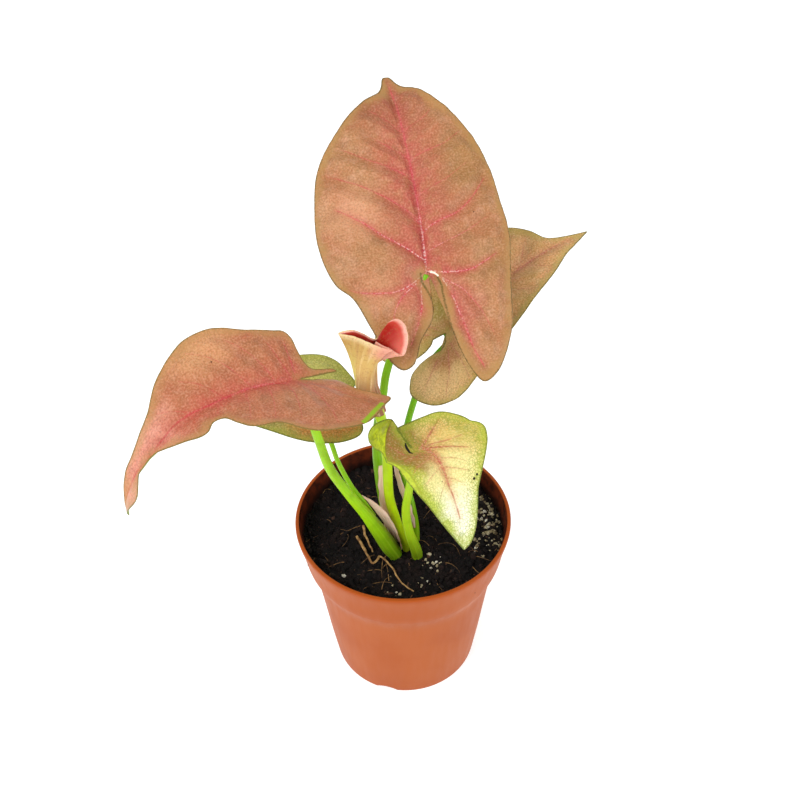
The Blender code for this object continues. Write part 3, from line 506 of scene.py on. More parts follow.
def leaf_ground(tree, finish, flat):
    """Cloudy ground with broad and fine mottles, then the local washes with frayed outlines."""
    ground = mottle(tree, finish["ground"], finish["patch"], flat, PATCH_SIZE, 0.38, 0.62, 1.0, 3.0)
    ground = mottle(tree, ground, finish["fleck"], flat, FLECK_SIZE, 0.48, 0.7, 0.4, 4.0)
    ground = mottle(tree, ground, finish["speckle"], flat, SPECKLE_SIZE, 0.5, 0.7, 0.3, 4.0)
    wander = add(tree, "ShaderNodeTexNoise", {"Vector": flat, "Scale": 1 / (WANDER_SIZE * MM), "Detail": 3.0})
    for colour, place, inner, outer, depth in finish["washes"]:
        ground = paint_round(tree, ground, colour, flat, place, inner + WASH_WANDER / 2,
                             outer + WASH_WANDER / 2, depth, wander)
    return ground


def leaf_veins(tree, finish, ground, flat, rib, reach):
    """Blush round the midrib and the main veins, the veins' broken lines, and a painted highlight in pale
    flecks on the veins near the stalk.
    """
    side, line, glow = (add(tree, "ShaderNodeAttribute", out="Fac", attribute_name=name)
                        for name in ("vein_side", "vein_line", "vein_glow"))
    cloud = add(tree, "ShaderNodeTexNoise", {"Vector": flat, "Scale": 1 / (BLUSH_CLOUD * MM), "Detail": 3.0})
    broken = add(tree, "ShaderNodeMapRange", {"Value": cloud, 1: 0.34, 2: 0.58, 3: 0.45, 4: 1.0})
    fading = add(tree, "ShaderNodeMapRange", {"Value": reach, 1: finish["blush_end"] * MM,
                                              2: finish["blush_end"] * 0.4 * MM, 3: 0.0, 4: broken})
    ground = paint(tree, ground, finish["blush"], rib, finish["blush_reach"], 0.5, finish["blush_depth"],
                   fading)
    ground = paint(tree, ground, finish["blush"], glow, 0.08, 0.9, finish["glow_depth"], broken)
    across = add(tree, "ShaderNodeMath", {0: side}, operation="ABSOLUTE")
    drawn = add(tree, "ShaderNodeMath", {0: line, 1: broken}, operation="MULTIPLY")
    ground = paint(tree, ground, finish["vein"], across, 1.3, 0.75, finish["vein_depth"], drawn)
    # Painted highlight: pale flecks on the main veins near the stalk
    flecks = add(tree, "ShaderNodeTexNoise", {"Vector": flat, "Scale": 1 / (CREST_HIGHLIGHT_FLECK * MM), "Detail": 2.0})
    near = add(tree, "ShaderNodeMapRange", {"Value": reach, 1: 26 * MM, 2: 4 * MM, 3: 0.12, 4: 1.0})
    crest = add(tree, "ShaderNodeMath", {0: line, 1: near}, operation="MULTIPLY")
    crest = add(tree, "ShaderNodeMapRange", {"Value": across, 1: 0.9, 2: 0.3, 3: 0.0, 4: crest})
    return paint(tree, ground, finish["crest"], flecks, 0.42, 0.62, finish["crest_highlight_depth"], crest)


def leaf_material(name, finish, roughness=0.44):
    """Living leaf blade: a waxy skin over cells, so a soft broad shine and a little light through it."""
    material, tree, shader = new_material(name, {"Roughness": roughness, "Specular IOR Level": 0.2,
                                                 "Subsurface Weight": 0.1, "Subsurface Scale": 0.6 * MM})
    flat = add(tree, "ShaderNodeAttribute", out="Vector", attribute_name="flat")
    rib, edge = (add(tree, "ShaderNodeAttribute", out="Fac", attribute_name=key) for key in ("rib", "edge"))
    colour = leaf_ground(tree, finish, flat)
    reach = add(tree, "ShaderNodeVectorMath", {0: flat}, out=1, operation="LENGTH")
    colour = leaf_veins(tree, finish, colour, flat, rib, reach)
    # Pale and dark flecks, matched; single cells are ten times finer and wouldn't show
    cells = add(tree, "ShaderNodeTexNoise", {"Vector": flat, "Scale": 1 / (CELL_SIZE * MM), "Detail": 4.0})
    colour = paint(tree, colour, finish["speckle"], cells, 0.42, 0.78, finish["speckle_depth"])
    colour = paint(tree, colour, finish["fleck"], cells, 0.55, 0.25, finish["fleck_depth"])
    net = add(tree, "ShaderNodeTexVoronoi", {"Vector": flat, "Scale": 1 / (finish["net_size"] * MM)},
              feature="DISTANCE_TO_EDGE")
    rimward = add(tree, "ShaderNodeMapRange", {"Value": edge, 1: 6.0, 2: 1.0, 3: 0.3, 4: 1.0})
    colour = paint(tree, colour, finish["net"], net, 0.14, 0.03, finish["net_depth"], rimward)
    if "flap" in finish:
        folded = add(tree, "ShaderNodeAttribute", out="Fac", attribute_name="flap")
        ribs = add(tree, "ShaderNodeTexNoise",
                   {"Vector": flat, "Scale": 1 / (FLAP_RIB_SIZE * MM), "Distortion": 0.4})
        flap = paint(tree, finish["flap"], finish["flap_rib"], ribs, 0.42, 0.62)
        colour = paint(tree, colour, flap, folded, 0.42, 0.56, 0.95)
        # A dark line of painted shade along the crease of the folded lobe
        fold = add(tree, "ShaderNodeMath", {0: folded, 1: 0.42, 2: 0.14}, operation="COMPARE")
        colour = paint(tree, colour, "#7C7426", fold, 0.0, 1.0, 0.55)
    # A margin whose width drifts, with a thin ragged line on the very edge
    ragged = add(tree, "ShaderNodeMath", {0: cells, 1: 0.9, 2: edge}, operation="MULTIPLY_ADD")
    drift = add(tree, "ShaderNodeTexNoise", {"Vector": flat, "Scale": 1 / (DRIFT_SIZE * MM), "Detail": 4.0})
    drifting = add(tree, "ShaderNodeMath", {0: drift, 1: 7.0, 2: ragged}, operation="MULTIPLY_ADD")
    colour = paint(tree, colour, finish["margin"], drifting, 7.6, 4.2, finish["margin_depth"])
    colour = paint(tree, colour, finish["hem"], ragged, 1.0, 0.5, 0.85)
    for tone, place, radius in finish["spots"]:
        colour = paint_round(tree, colour, tone, flat, place, radius * 0.7, radius * 1.25)
    height = add(tree, "ShaderNodeMath", {0: net, 1: 0.8, 2: cells}, operation="MULTIPLY_ADD")
    finish_surface(tree, shader, colour, height, 0.1)
    return material


def stalk_material(name, foot, middle, top):
    """Living leaf stalk: smooth, juicy and slightly see-through, with fine lengthwise fibres."""
    material, tree, shader = new_material(name, {"Roughness": 0.34, "Specular IOR Level": 0.2,
                                                 "Subsurface Weight": 0.2, "Subsurface Scale": 0.8 * MM})
    along, around = (add(tree, "ShaderNodeAttribute", out="Fac", attribute_name=key)
                     for key in ("along", "around"))
    colour = paint(tree, foot, middle, along, 0.0, 0.3)
    colour = paint(tree, colour, top, along, 0.55, 1.0)
    fibre = lengthwise_fibres(tree, around, FIBRE_STREAKS, along, 1.0, 2.0)
    colour = paint(tree, colour, "#C4E040", fibre, 0.42, 0.72, 0.25)
    place = add(tree, "ShaderNodeTexCoord", out="Object")
    colour = mottle(tree, colour, foot, place, 5, 0.45, 0.75, 0.35, 3.0)
    finish_surface(tree, shader, colour, fibre, 0.06)
    return material


def roll_material(name, outside):
    """The young leaf: soft and thin, with fanned striations, cream outside and coral inside; painted light on
    its lit sides and painted shade deep in the funnel.
    """
    material, tree, shader = new_material(name, {
        "Roughness": 0.42, "Specular IOR Level": 0.3 if outside else 0.08,
        "Subsurface Weight": 0.15, "Subsurface Scale": 0.6 * MM})
    rise, around = (add(tree, "ShaderNodeAttribute", out="Fac", attribute_name=key)
                    for key in ("rise", "turn"))
    stripe = lengthwise_fibres(tree, around, FIBRE_STREAKS, rise, 1.5, 3.0)
    place = add(tree, "ShaderNodeTexCoord", out="Object")
    if outside:
        colour = paint(tree, "#96603C", "#CBA860", rise, 0.25, 0.85)
        # A yellow-green band of painted light low on the left side, which faces the light
        lit = add(tree, "ShaderNodeMapRange", {"Value": around, 1: 0.5, 2: 0.36, 3: 0.0, 4: 1.0})
        lit = add(tree, "ShaderNodeMapRange", {"Value": rise, 1: 0.9, 2: 0.45, 3: 0.0, 4: lit})
        colour = paint_all(tree, colour, [
            ("#C6C35A", around, 0.14, 0.26, 0.8, lit), ("#F0DCA6", stripe, 0.5, 0.66, 0.45),
            ("#A66C44", stripe, 0.46, 0.3, 0.35), ("#9C5C3A", around, 0.84, 0.95, 0.7),
            ("#EBD3A0", rise, 0.93, 0.985, 0.8)])
        # The lip of the scoop is flushed with pink
        lip = add(tree, "ShaderNodeMath", {0: around, 1: 0.98, 2: 0.13}, operation="COMPARE")
        start = add(tree, "ShaderNodeMapRange", {"Value": around, 1: 0.13, 2: 0.04, 3: 0.0, 4: 1.0})
        flushed = add(tree, "ShaderNodeMath", {0: lip, 1: start}, operation="MAXIMUM")
        colour = paint(tree, colour, "#E29A88", rise, 0.8, 0.93, 0.9, flushed)
    else:
        # Inside: painted shade, the coral darkest deep in the funnel; painted light, a lighter coral near the
        # rim on the right side that faces the light
        right = add(tree, "ShaderNodeMapRange", {"Value": around, 1: 0.76, 2: 0.88, 3: 0.0, 4: 0.9})
        colour = paint_all(tree, "#640C0A", [
            ("#9E1A10", rise, 0.6, 0.9), ("#B43024", stripe, 0.46, 0.7, 0.3),
            ("#C24234", rise, 0.94, 0.985, 0.8), ("#D06658", rise, 0.87, 0.97, 1.0, right),
            ("#EDB4A2", rise, 0.975, 0.998)])
    colour = mottle(tree, colour, "#9A6238", place, 0.6, 0.5, 0.72, 0.35)
    finish_surface(tree, shader, colour, stripe, 0.06)
    return material


def sheath_material():
    """Dead leaf sheath: a dry papery skin, dull, with brown fibres lengthwise and a darker torn edge."""
    material, tree, shader = new_material("dry papery sheath", {"Roughness": 0.62, "Specular IOR Level": 0.35,
                                                                "Subsurface Weight": 0.15,
                                                                "Subsurface Scale": 0.5 * MM})
    part, turn = (add(tree, "ShaderNodeAttribute", out="Fac", attribute_name=key) for key in ("part", "turn"))
    fibre = lengthwise_fibres(tree, turn, SHEATH_STREAKS, part, 3.0, 3.0)
    edge = add(tree, "ShaderNodeMath", {0: turn}, operation="ABSOLUTE")
    colour = paint_all(tree, "#8A6038", [
        ("#E8C2AA", part, 0.0, 0.45), ("#FBE6DA", fibre, 0.45, 0.66, 0.7),
        ("#C09480", fibre, 0.45, 0.3, 0.6), ("#A87860", edge, 0.92, 0.99, 0.5)])
    finish_surface(tree, shader, colour, fibre, 0.15)
    return material


# Materials of the pot and the soil


def pot_material():
    """Injection-moulded polypropylene: evenly coloured, satin, with painted shade on the inner wall above the
    soil.
    """
    material, tree, shader = new_material("moulded polypropylene", {"Specular IOR Level": 0.12})
    place = add(tree, "ShaderNodeTexCoord", out="Object")
    colour = mottle(tree, "#A24F1E", "#A75524", place, 22, 0.35, 0.65, 1.0, 3.0)
    height = add(tree, "ShaderNodeSeparateXYZ", {0: place}, out=2)
    colour = paint(tree, colour, "#9E4612", height, DARKENING_FROM * MM, (POT_HEIGHT - 0.3) * MM, 0.7)
    # Painted shade on the inner wall above the soil: mottled dark brown, darkest down by the soil
    inside = add(tree, "ShaderNodeAttribute", out="Fac", attribute_name="inside")
    darkened = mottle(tree, "#5A2412", "#2A120C", place, 3, 0.4, 0.66, 0.85, 4.0)
    darkened = paint(tree, darkened, "#120A08", height, DARKENING_FROM * MM, INNER_SHADE_DARKEST * MM, 0.9)
    colour = paint(tree, colour, darkened, inside, 0.1, 0.9)
    drawn = add(tree, "ShaderNodeMapping", {0: place, "Scale": (1.0, 1.0, 0.12)})
    scuff = add(tree, "ShaderNodeTexNoise", {"Vector": drawn, "Scale": 1 / (2.4 * MM), "Detail": 3.0})
    rough = add(tree, "ShaderNodeMapRange", {"Value": scuff, 1: 0.3, 2: 0.75, 3: 0.42, 4: 0.52})
    tree.links.new(rough, shader.inputs["Roughness"])
    finish_surface(tree, shader, colour, scuff, 0.006)
    return material


def peat_material(name, dark, brown, pale):
    """Damp sphagnum peat: nearly black crumbs that dry to purplish brown, with no shine but wet glints."""
    material, tree, shader = new_material(name, {"Roughness": 0.85, "Specular IOR Level": 0.2})
    place = add(tree, "ShaderNodeTexCoord", out="Object")
    tone = add(tree, "ShaderNodeAttribute", out="Fac", attribute_name="tone")
    colour = mottle(tree, dark, brown, place, 6, 0.46, 0.72, 1.0, 4.0)
    colour = mottle(tree, colour, pale, place, 0.8, 0.58, 0.8, 0.6, 3.0)
    colour = paint(tree, colour, brown, tone, 0.6, 1.0, 0.6)
    colour = paint(tree, colour, pale, tone, 0.95, 0.99, 0.6)
    clump = add(tree, "ShaderNodeTexNoise", {"Vector": place, "Scale": 1 / (1.2 * MM), "Detail": 5.0})
    finish_surface(tree, shader, colour, clump, 0.5)
    return material


def bark_material():
    """Composted bark: brown flakes with lengthwise grain."""
    material, tree, shader = new_material("composted bark", {"Roughness": 0.8, "Specular IOR Level": 0.3})
    place = add(tree, "ShaderNodeTexCoord", out="Object")
    tone = add(tree, "ShaderNodeAttribute", out="Fac", attribute_name="tone")
    drawn = add(tree, "ShaderNodeMapping", {0: place, "Scale": (1.0, 0.25, 1.0)})
    streak = add(tree, "ShaderNodeTexNoise", {"Vector": drawn, "Scale": 1 / (1.1 * MM), "Detail": 3.0})
    colour = paint(tree, "#140C0B", "#452A1E", tone, 0.2, 1.0)
    colour = paint(tree, colour, "#6A4630", streak, 0.52, 0.75, 0.6)
    finish_surface(tree, shader, colour, streak, 0.25)
    return material


def perlite_material():
    """Expanded volcanic glass: chalky off-white grains full of pores, stained by the peat."""
    material, tree, shader = new_material("expanded perlite", {"Roughness": 0.85, "Specular IOR Level": 0.3})
    place = add(tree, "ShaderNodeTexCoord", out="Object")
    tone = add(tree, "ShaderNodeAttribute", out="Fac", attribute_name="tone")
    pore = add(tree, "ShaderNodeTexVoronoi", {"Vector": place, "Scale": 1 / (0.4 * MM)})
    colour = paint(tree, "#7A6A4C", "#C4B898", tone, 0.0, 1.0)
    colour = paint(tree, colour, "#CFC8B8", tone, 0.8, 0.9)
    colour = mottle(tree, colour, "#54432F", place, 1.6, 0.48, 0.66, 0.8, 3.0)
    finish_surface(tree, shader, colour, pore, 0.2)
    return material


def fibre_material(name, pale, dark):
    """Dry root fibre: woody tan strands, in pale and darker patches."""
    material, tree, shader = new_material(name, {"Roughness": 0.75, "Specular IOR Level": 0.3})
    place = add(tree, "ShaderNodeTexCoord", out="Object")
    wear = add(tree, "ShaderNodeTexNoise", {"Vector": place, "Scale": 1 / (1.7 * MM), "Detail": 3.0})
    colour = paint(tree, pale, dark, wear, 0.35, 0.65)
    finish_surface(tree, shader, colour, wear, 0.15)
    return material


# Shapes shared by several pieces


def smooth_path(points, steps):
    """Points along a centripetal Catmull-Rom curve through the given ones."""
    knots = np.array(points, float)
    knots = np.vstack([2 * knots[0] - knots[1], knots, 2 * knots[-1] - knots[-2]])
    path = []
    for i in range(1, len(knots) - 2):
        p0, p1, p2, p3 = knots[i - 1:i + 3]
        t1 = math.sqrt(np.linalg.norm(p1 - p0))
        t2 = t1 + math.sqrt(np.linalg.norm(p2 - p1))
        t3 = t2 + math.sqrt(np.linalg.norm(p3 - p2))
        for t in np.linspace(t1, t2, steps, endpoint=False):
            a1 = p0 + (p1 - p0) * t / t1
            a2 = p1 + (p2 - p1) * (t - t1) / (t2 - t1)
            a3 = p2 + (p3 - p2) * (t - t2) / (t3 - t2)
            b1 = a1 + (a2 - a1) * t / t2
            b2 = a2 + (a3 - a2) * (t - t1) / (t3 - t1)
            path.append(b1 + (b2 - b1) * (t - t1) / (t2 - t1))
    path.append(knots[-2])
    return np.array(path)


def resample(path, count):
    """The path's points spaced evenly along it."""
    steps = np.linalg.norm(np.diff(path, axis=0), axis=1)
    along = np.concatenate([[0], np.cumsum(steps)])
    wanted = np.linspace(0, along[-1], count)
    return np.stack([np.interp(wanted, along, path[:, k]) for k in range(path.shape[1])], 1)


def bumps(points, size, seed=0.0):
    """Smooth noise from -1 to 1 at each point, its hills about size across."""
    return np.array([noise.noise(Vector((p[0] / size, p[1] / size, p[2] / size + seed))) for p in points])


def store_values(mesh, key, values):
    """Stores a number or a vector on each of the mesh's points under a name."""
    values = np.asarray(values, np.float32)
    kind, field = ("FLOAT_VECTOR", "vector") if values.ndim == 2 else ("FLOAT", "value")
    mesh.attributes.new(key, kind, "POINT").data.foreach_set(field, values.ravel())


def points_of(mesh):
    """The mesh's points in millimetres."""
    points = np.empty(len(mesh.vertices) * 3)
    mesh.vertices.foreach_get("co", points)
    return points.reshape(-1, 3) / MM


def mesh_from(name, points, faces, values=None):
    """A smooth mesh from points in millimetres, with named values stored on its points."""
    mesh = bpy.data.meshes.new(name)
    mesh.from_pydata((np.asarray(points) * MM).tolist(), [], faces)
    for key, data in (values or {}).items():
        store_values(mesh, key, data)
    mesh.shade_smooth()
    return mesh


def merge_doubles(mesh):
    """Joins points that lie on each other and drops faces that this leaves without area."""
    joined = bmesh.new()
    joined.from_mesh(mesh)
    bmesh.ops.remove_doubles(joined, verts=joined.verts, dist=MERGE_WITHIN)
    bmesh.ops.dissolve_degenerate(joined, edges=joined.edges, dist=MERGE_WITHIN / 2)
    joined.to_mesh(mesh)
    joined.free()


def link_object(name, data):
    """A new object in the scene."""
    made = bpy.data.objects.new(name, data)
    bpy.context.scene.collection.objects.link(made)
    return made


def dress(piece, nodes=()):
    """Rides the piece on the plant's one body and lets it stand for the CAD nodes."""
    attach(piece, "root")
    if nodes:
        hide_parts(*nodes)
    return piece


def apply_modifiers(piece):
    """Replaces the piece's mesh by its evaluated one."""
    graph = bpy.context.evaluated_depsgraph_get()
    mesh = bpy.data.meshes.new_from_object(piece.evaluated_get(graph))
    piece.modifiers.clear()
    piece.data = mesh
    return piece


def place_piece(name, mesh, materials, nodes=(), thickness=0, inside=0):
    """Makes the mesh a piece; a skin gets its thickness to both sides, its inner face inside slots on."""
    piece = link_object(name, mesh)
    for material in materials:
        mesh.materials.append(material)
    if thickness:
        solidify = piece.modifiers.new("Thickness", "SOLIDIFY")
        solidify.thickness = thickness * MM
        solidify.offset = 0
        solidify.material_offset = inside
        apply_modifiers(piece)
    return dress(piece, nodes)


def new_tree(name, inputs):
    """A Geometry Nodes tree with a Geometry in and out and the named inputs."""
    tree = bpy.data.node_groups.new(name, "GeometryNodeTree")
    tree.interface.new_socket("Geometry", in_out="INPUT", socket_type="NodeSocketGeometry")
    for key, kind in inputs.items():
        tree.interface.new_socket(key, in_out="INPUT", socket_type=kind)
    tree.interface.new_socket("Geometry", in_out="OUTPUT", socket_type="NodeSocketGeometry")
    return tree, tree.nodes.new("NodeGroupInput").outputs


def end_tree(tree, geometry, material):
    """Ends a tree in Realize Instances and Set Material."""
    real = add(tree, "GeometryNodeRealizeInstances", {0: geometry})
    done = add(tree, "GeometryNodeSetMaterial", {0: real, "Material": material})
    add(tree, "NodeGroupOutput", {0: done})


def run_tree(name, mesh, tree, slot, nodes=(), **values):
    """Builds a piece from a mesh with a Geometry Nodes tree, as a plain mesh."""
    piece = link_object(name, mesh)
    modifier = piece.modifiers.new("Build", "NODES")
    modifier.node_group = tree
    for item in tree.interface.items_tree:
        if item.in_out == "INPUT" and item.name in values:
            modifier[item.identifier] = values[item.name]
    return dress(apply_modifiers(piece), nodes)


# Leaf blades


def leaf_axes(leaf):
    """Unit vectors of the blade at its stalk: to its right, towards its tip, and up out of it."""
    heading, rise, roll = (math.radians(leaf[key]) for key in ("heading", "rise", "roll"))
    ahead = math.cos(rise)
    tipward = np.array([math.cos(heading) * ahead, math.sin(heading) * ahead, math.sin(rise)])
    level = np.array([math.sin(heading), -math.cos(heading), 0])
    upward = np.cross(level, tipward)
    right = level * math.cos(roll) - upward * math.sin(roll)
    return right, tipward, upward * math.cos(roll) + level * math.sin(roll)


def running_sum(values, step):
    """The integral of evenly spaced values, from zero."""
    return np.concatenate([[0], np.cumsum((values[1:] + values[:-1]) / 2)]) * step


def crease_turn(outward, along):
    """How far past the folded lobe's crease a place is, from 0 to 1."""
    line = CREASE_AT - CREASE_BEND * np.clip(CREASE_FROM - along, 0, None) ** 2
    turn = np.clip((outward - line) / CREASE_WIDTH + 0.5, 0, 1)
    return turn * turn * (3 - 2 * turn) * np.clip((CREASE_END - along) / CREASE_END, 0, 1)


def blade_points(leaf, side, outward, along):
    """Points of the blade's upper face for flat places on it, side being 1 for right and -1 for left."""
    outward, along = np.asarray(outward, float), np.asarray(along, float)
    fraction = np.linspace(0, 1, TABLE_STEPS)[:, None]
    reach = outward[None, :] * fraction
    angle = math.radians(leaf["fold"]) - math.radians(leaf["arch"]) * reach / leaf["width"]
    if leaf["crease"] and side > 0:
        angle = angle - math.radians(leaf["crease"]) * crease_turn(reach, along)
    across = side * np.cos(angle).mean(0) * outward
    lift = np.sin(angle).mean(0) * outward
    part = np.clip(along / leaf["length"], 0, None)
    table = np.linspace(0, 1.5, TABLE_STEPS)
    tip_part = np.clip((table - CURL_FROM) / (1 - CURL_FROM), 0, None)
    bend = math.radians(leaf["bow"]) * table + math.radians(leaf["curl"]) * tip_part ** 1.5
    step = table[1] * leaf["length"]
    ahead = np.interp(part, table, running_sum(np.cos(bend), step))
    height = np.interp(part, table, -running_sum(np.sin(bend), step))
    turned = np.interp(part, table, bend)
    back = np.clip(-along / leaf["lobe"], 0, None)
    drop = math.radians(leaf["lobe_drop"]) * table
    step = table[1] * leaf["lobe"]
    behind = along < 0
    ahead = np.where(behind, np.interp(back, table, -running_sum(np.cos(drop), step)), ahead)
    height = np.where(behind, np.interp(back, table, -running_sum(np.sin(drop), step)), height)
    turned = np.where(behind, -np.interp(back, table, drop), turned)
    across = across + leaf["sweep"] * part ** 2 + leaf["jog"] * (1 - np.exp(-JOG_RATE * part))
    right, tipward, upward = leaf_axes(leaf)
    ahead = ahead + lift * np.sin(turned)
    height = height + lift * np.cos(turned)
    offsets = across[:, None] * right + ahead[:, None] * tipward + height[:, None] * upward
    return np.array(leaf["at"], float) + offsets


def notch_path(leaf, side_name):
    """The edge of a notch that is widest near the stalk: x, y and how far round the lobe its row ends."""
    path = smooth_path(leaf["notch_" + side_name], MARGIN_STEPS)
    path[:, 2] = np.maximum.accumulate(path[:, 2])
    return path


def blade_rows(leaf, side_name):
    """The rows' ends on the midrib and on the margin, their fan positions from 0 to 2, and the margin."""
    margin = smooth_path(leaf[side_name], MARGIN_STEPS)
    level = margin[:, 1] - leaf["slant"] * margin[:, 0]
    turn = np.nonzero(level < 0)[0][-1] + 1
    before, after = margin[turn - 1], margin[turn]
    start = before + (after - before) * -level[turn - 1] / (level[turn] - level[turn - 1])
    lobe = np.vstack([margin[:turn], start])
    # Rows round the lobe are spaced by how far they swing, so few crowd along the notch
    move = np.diff(lobe, axis=0)
    middle = (lobe[1:] + lobe[:-1]) / 2
    swing = np.abs(middle[:, 0] * move[:, 1] - middle[:, 1] * move[:, 0]) / np.linalg.norm(middle, axis=1)
    passed = np.concatenate([[0], np.cumsum(swing + 0.12 * np.linalg.norm(move, axis=1))])
    wanted = np.linspace(0, passed[-1], leaf["lobe_rows"] + 1)
    lobe_ends = np.stack([np.interp(wanted, passed, lobe[:, k]) for k in (0, 1)], 1)
    stations = leaf["length"] * np.linspace(0, 1, leaf["rows"] + 1)[1:]
    upper = np.vstack([start, margin[turn:]])
    levels = np.maximum.accumulate(np.concatenate([[0], level[turn:]]))
    sides = np.stack([np.interp(stations, levels, upper[:, k]) for k in (0, 1)], 1)
    lobe_roots = np.zeros((len(lobe_ends), 2))
    if "notch_" + side_name in leaf:
        notch = notch_path(leaf, side_name)
        lobe_roots = np.stack([np.interp(wanted / passed[-1], notch[:, 2], notch[:, k]) for k in (0, 1)], 1)
    roots = np.vstack([lobe_roots, np.stack([0 * stations, stations], 1)])
    fan = np.concatenate([wanted / passed[-1], 1 + stations / leaf["length"]])
    return roots, np.vstack([lobe_ends, sides]), fan, margin


def vein_fields(name, places):
    """How flat places lie to the main veins: signed distance in half widths of the nearest vein, its
    strength, a soft glow round every vein, and the distance to the nearest in millimetres."""
    nearest = np.full(len(places), np.inf)
    side, line, glow = (np.zeros(len(places)) for _ in range(3))
    thin, more = VEIN_HALF_WIDTH
    for strength, route in VEINS[name]:
        path = smooth_path(route, VEIN_STEPS)
        ahead = np.diff(path, axis=0)
        length = np.linalg.norm(ahead, axis=1)
        passed = np.concatenate([[0], np.cumsum(length)[:-1]])
        away = places[:, None] - path[None, :-1]
        share = np.clip((away * ahead).sum(2) / length ** 2, 0, 1)
        distance = np.linalg.norm(away - share[..., None] * ahead, axis=2)
        pick = distance.argmin(1)
        every = np.arange(len(places))
        distance = distance[every, pick]
        turned = ahead[pick, 0] * away[every, pick, 1] - ahead[pick, 1] * away[every, pick, 0]
        gone = (passed[pick] + share[every, pick] * length[pick]) / length.sum()
        taper = strength * (1 - VEIN_FADES * gone ** 1.4)
        glow = np.maximum(glow, taper * np.exp(-(distance / VEIN_GLOW) ** 2))
        closer = distance < nearest
        nearest = np.where(closer, distance, nearest)
        side = np.where(closer, np.sign(turned) * distance / (thin + more * taper), side)
        line = np.where(closer, taper ** 0.6 * np.clip((1.3 - distance) / 0.5, 0, 1), line)
    return side, line, glow, nearest


def blade_half(name, side, side_name):
    """One half of the blade as a grid of rows by columns: upper points, lower points and named values."""
    leaf = LEAVES[name]
    roots, ends, position, margin = blade_rows(leaf, side_name)
    share = np.linspace(0, 1, BLADE_COLUMNS + 1)
    share = share - 0.5 * np.sin(2 * math.pi * share) / (2 * math.pi)
    run = ends - roots
    bow = ROW_BOW * np.sin(math.pi * np.clip((position - 0.4) / 1.6, 0, 1))
    flat = roots[:, None] + run[:, None] * share[None, :, None]
    towards_base = np.stack([run[:, 1], -run[:, 0]], 1) * bow[:, None]
    flat = flat + towards_base[:, None] * (4 * share * (1 - share))[None, :, None]
    u, v = flat[..., 0].ravel(), flat[..., 1].ravel()
    other = smooth_path(leaf["left" if side > 0 else "right"], MARGIN_STEPS) * [-1, 1]
    margin = np.vstack([margin, other])
    for edge_side, mirrored in (("right", side), ("left", -side)):
        if "notch_" + edge_side in leaf:
            margin = np.vstack([margin, notch_path(leaf, edge_side)[:, :2] * [mirrored, 1]])
    edge = np.min(np.hypot(u[:, None] - margin[None, :, 0], v[:, None] - margin[None, :, 1]), 1)
    rib = np.hypot(u, np.minimum(v, 0))
    station = np.clip(v / leaf["length"], 0, 1)
    vein_side, vein_line, vein_glow, near = vein_fields(name, np.stack([side * u, v], 1))
    points = blade_points(leaf, side, u, v)
    inwards = np.maximum(u - SLOPE_STEP, 0)
    slope_u = blade_points(leaf, side, u + SLOPE_STEP, v) - blade_points(leaf, side, inwards, v)
    slope_v = blade_points(leaf, side, u, v + SLOPE_STEP) - blade_points(leaf, side, u, v - SLOPE_STEP)
    normal = np.cross(slope_u, slope_v) * side
    # On the midrib both halves share the direction between their own
    right = leaf_axes(leaf)[0]
    middle = u < 1e-6
    along_rib = slope_v[middle] - np.outer(slope_v[middle] @ right, right)
    normal[middle] = np.cross(right, along_rib)
    normal = normal / np.linalg.norm(normal, axis=1, keepdims=True)
    # Relief: cushions between the main veins, furrows on them, a soft pucker, and a flared wavy rim
    place = np.stack([side * u, v, 0 * u], 1)
    inner = np.clip(edge / INNER_FROM, 0, 1)
    furrow = vein_glow ** 3
    relief = leaf["quilt"] * ((1 - np.exp(-(near / CUSHION_WIDTH) ** 2)) * inner - FURROW_SHARE * furrow)
    groove = np.exp(-(rib / GROOVE_WIDTH) ** 2)
    relief = relief - leaf["groove"] * groove * (1 - station) * np.clip(edge / 2, 0, 1)
    pucker = 0.28 * bumps(place, PUCKER_FINE, 7) + 0.7 * bumps(place, PUCKER_BROAD, 3) * inner
    relief = relief + leaf["pucker"] * pucker
    rim = np.exp(-(edge / RIM_WIDTH) ** 2) - 0.75 * np.exp(-((edge - RIM_DIP_AT) / RIM_DIP_WIDTH) ** 2)
    flaring = 0.75 + 0.5 * bumps(place, FLARE_SIZE, 21)
    relief = relief + leaf["flare"] * rim * flaring * np.clip((u - 3) / 6, 0, 1)
    relief = relief + leaf["wave"] * bumps(place, WAVE_SIZE, 11) * np.clip(1 - edge / WAVE_REACH, 0, 1) ** 2
    relief = relief * np.clip(0.15 + np.hypot(u, v) / 4, 0, 1)
    thick = BLADE_THICKNESS * np.clip(0.35 + edge / 1.6, 0, 1)
    keel = ((1 - station) ** 1.2 + 0.15) * np.exp(-(rib / KEEL_WIDTH) ** 2) * np.clip(edge / 0.8, 0, 1)
    keel = keel + UNDER_VEIN * furrow * inner
    upper = points + normal * relief[:, None]
    lower = points + normal * (relief - thick - keel)[:, None]
    values = {"flat": place * MM, "rib": rib, "edge": edge, "vein_side": vein_side, "vein_line": vein_line,
              "vein_glow": vein_glow}
    if leaf["crease"]:
        values["flap"] = crease_turn(u, v) if side > 0 else 0 * u
    shape = (len(roots), len(share))
    values = {key: data.reshape(*shape, -1) for key, data in values.items()}
    return upper.reshape(*shape, 3), lower.reshape(*shape, 3), values


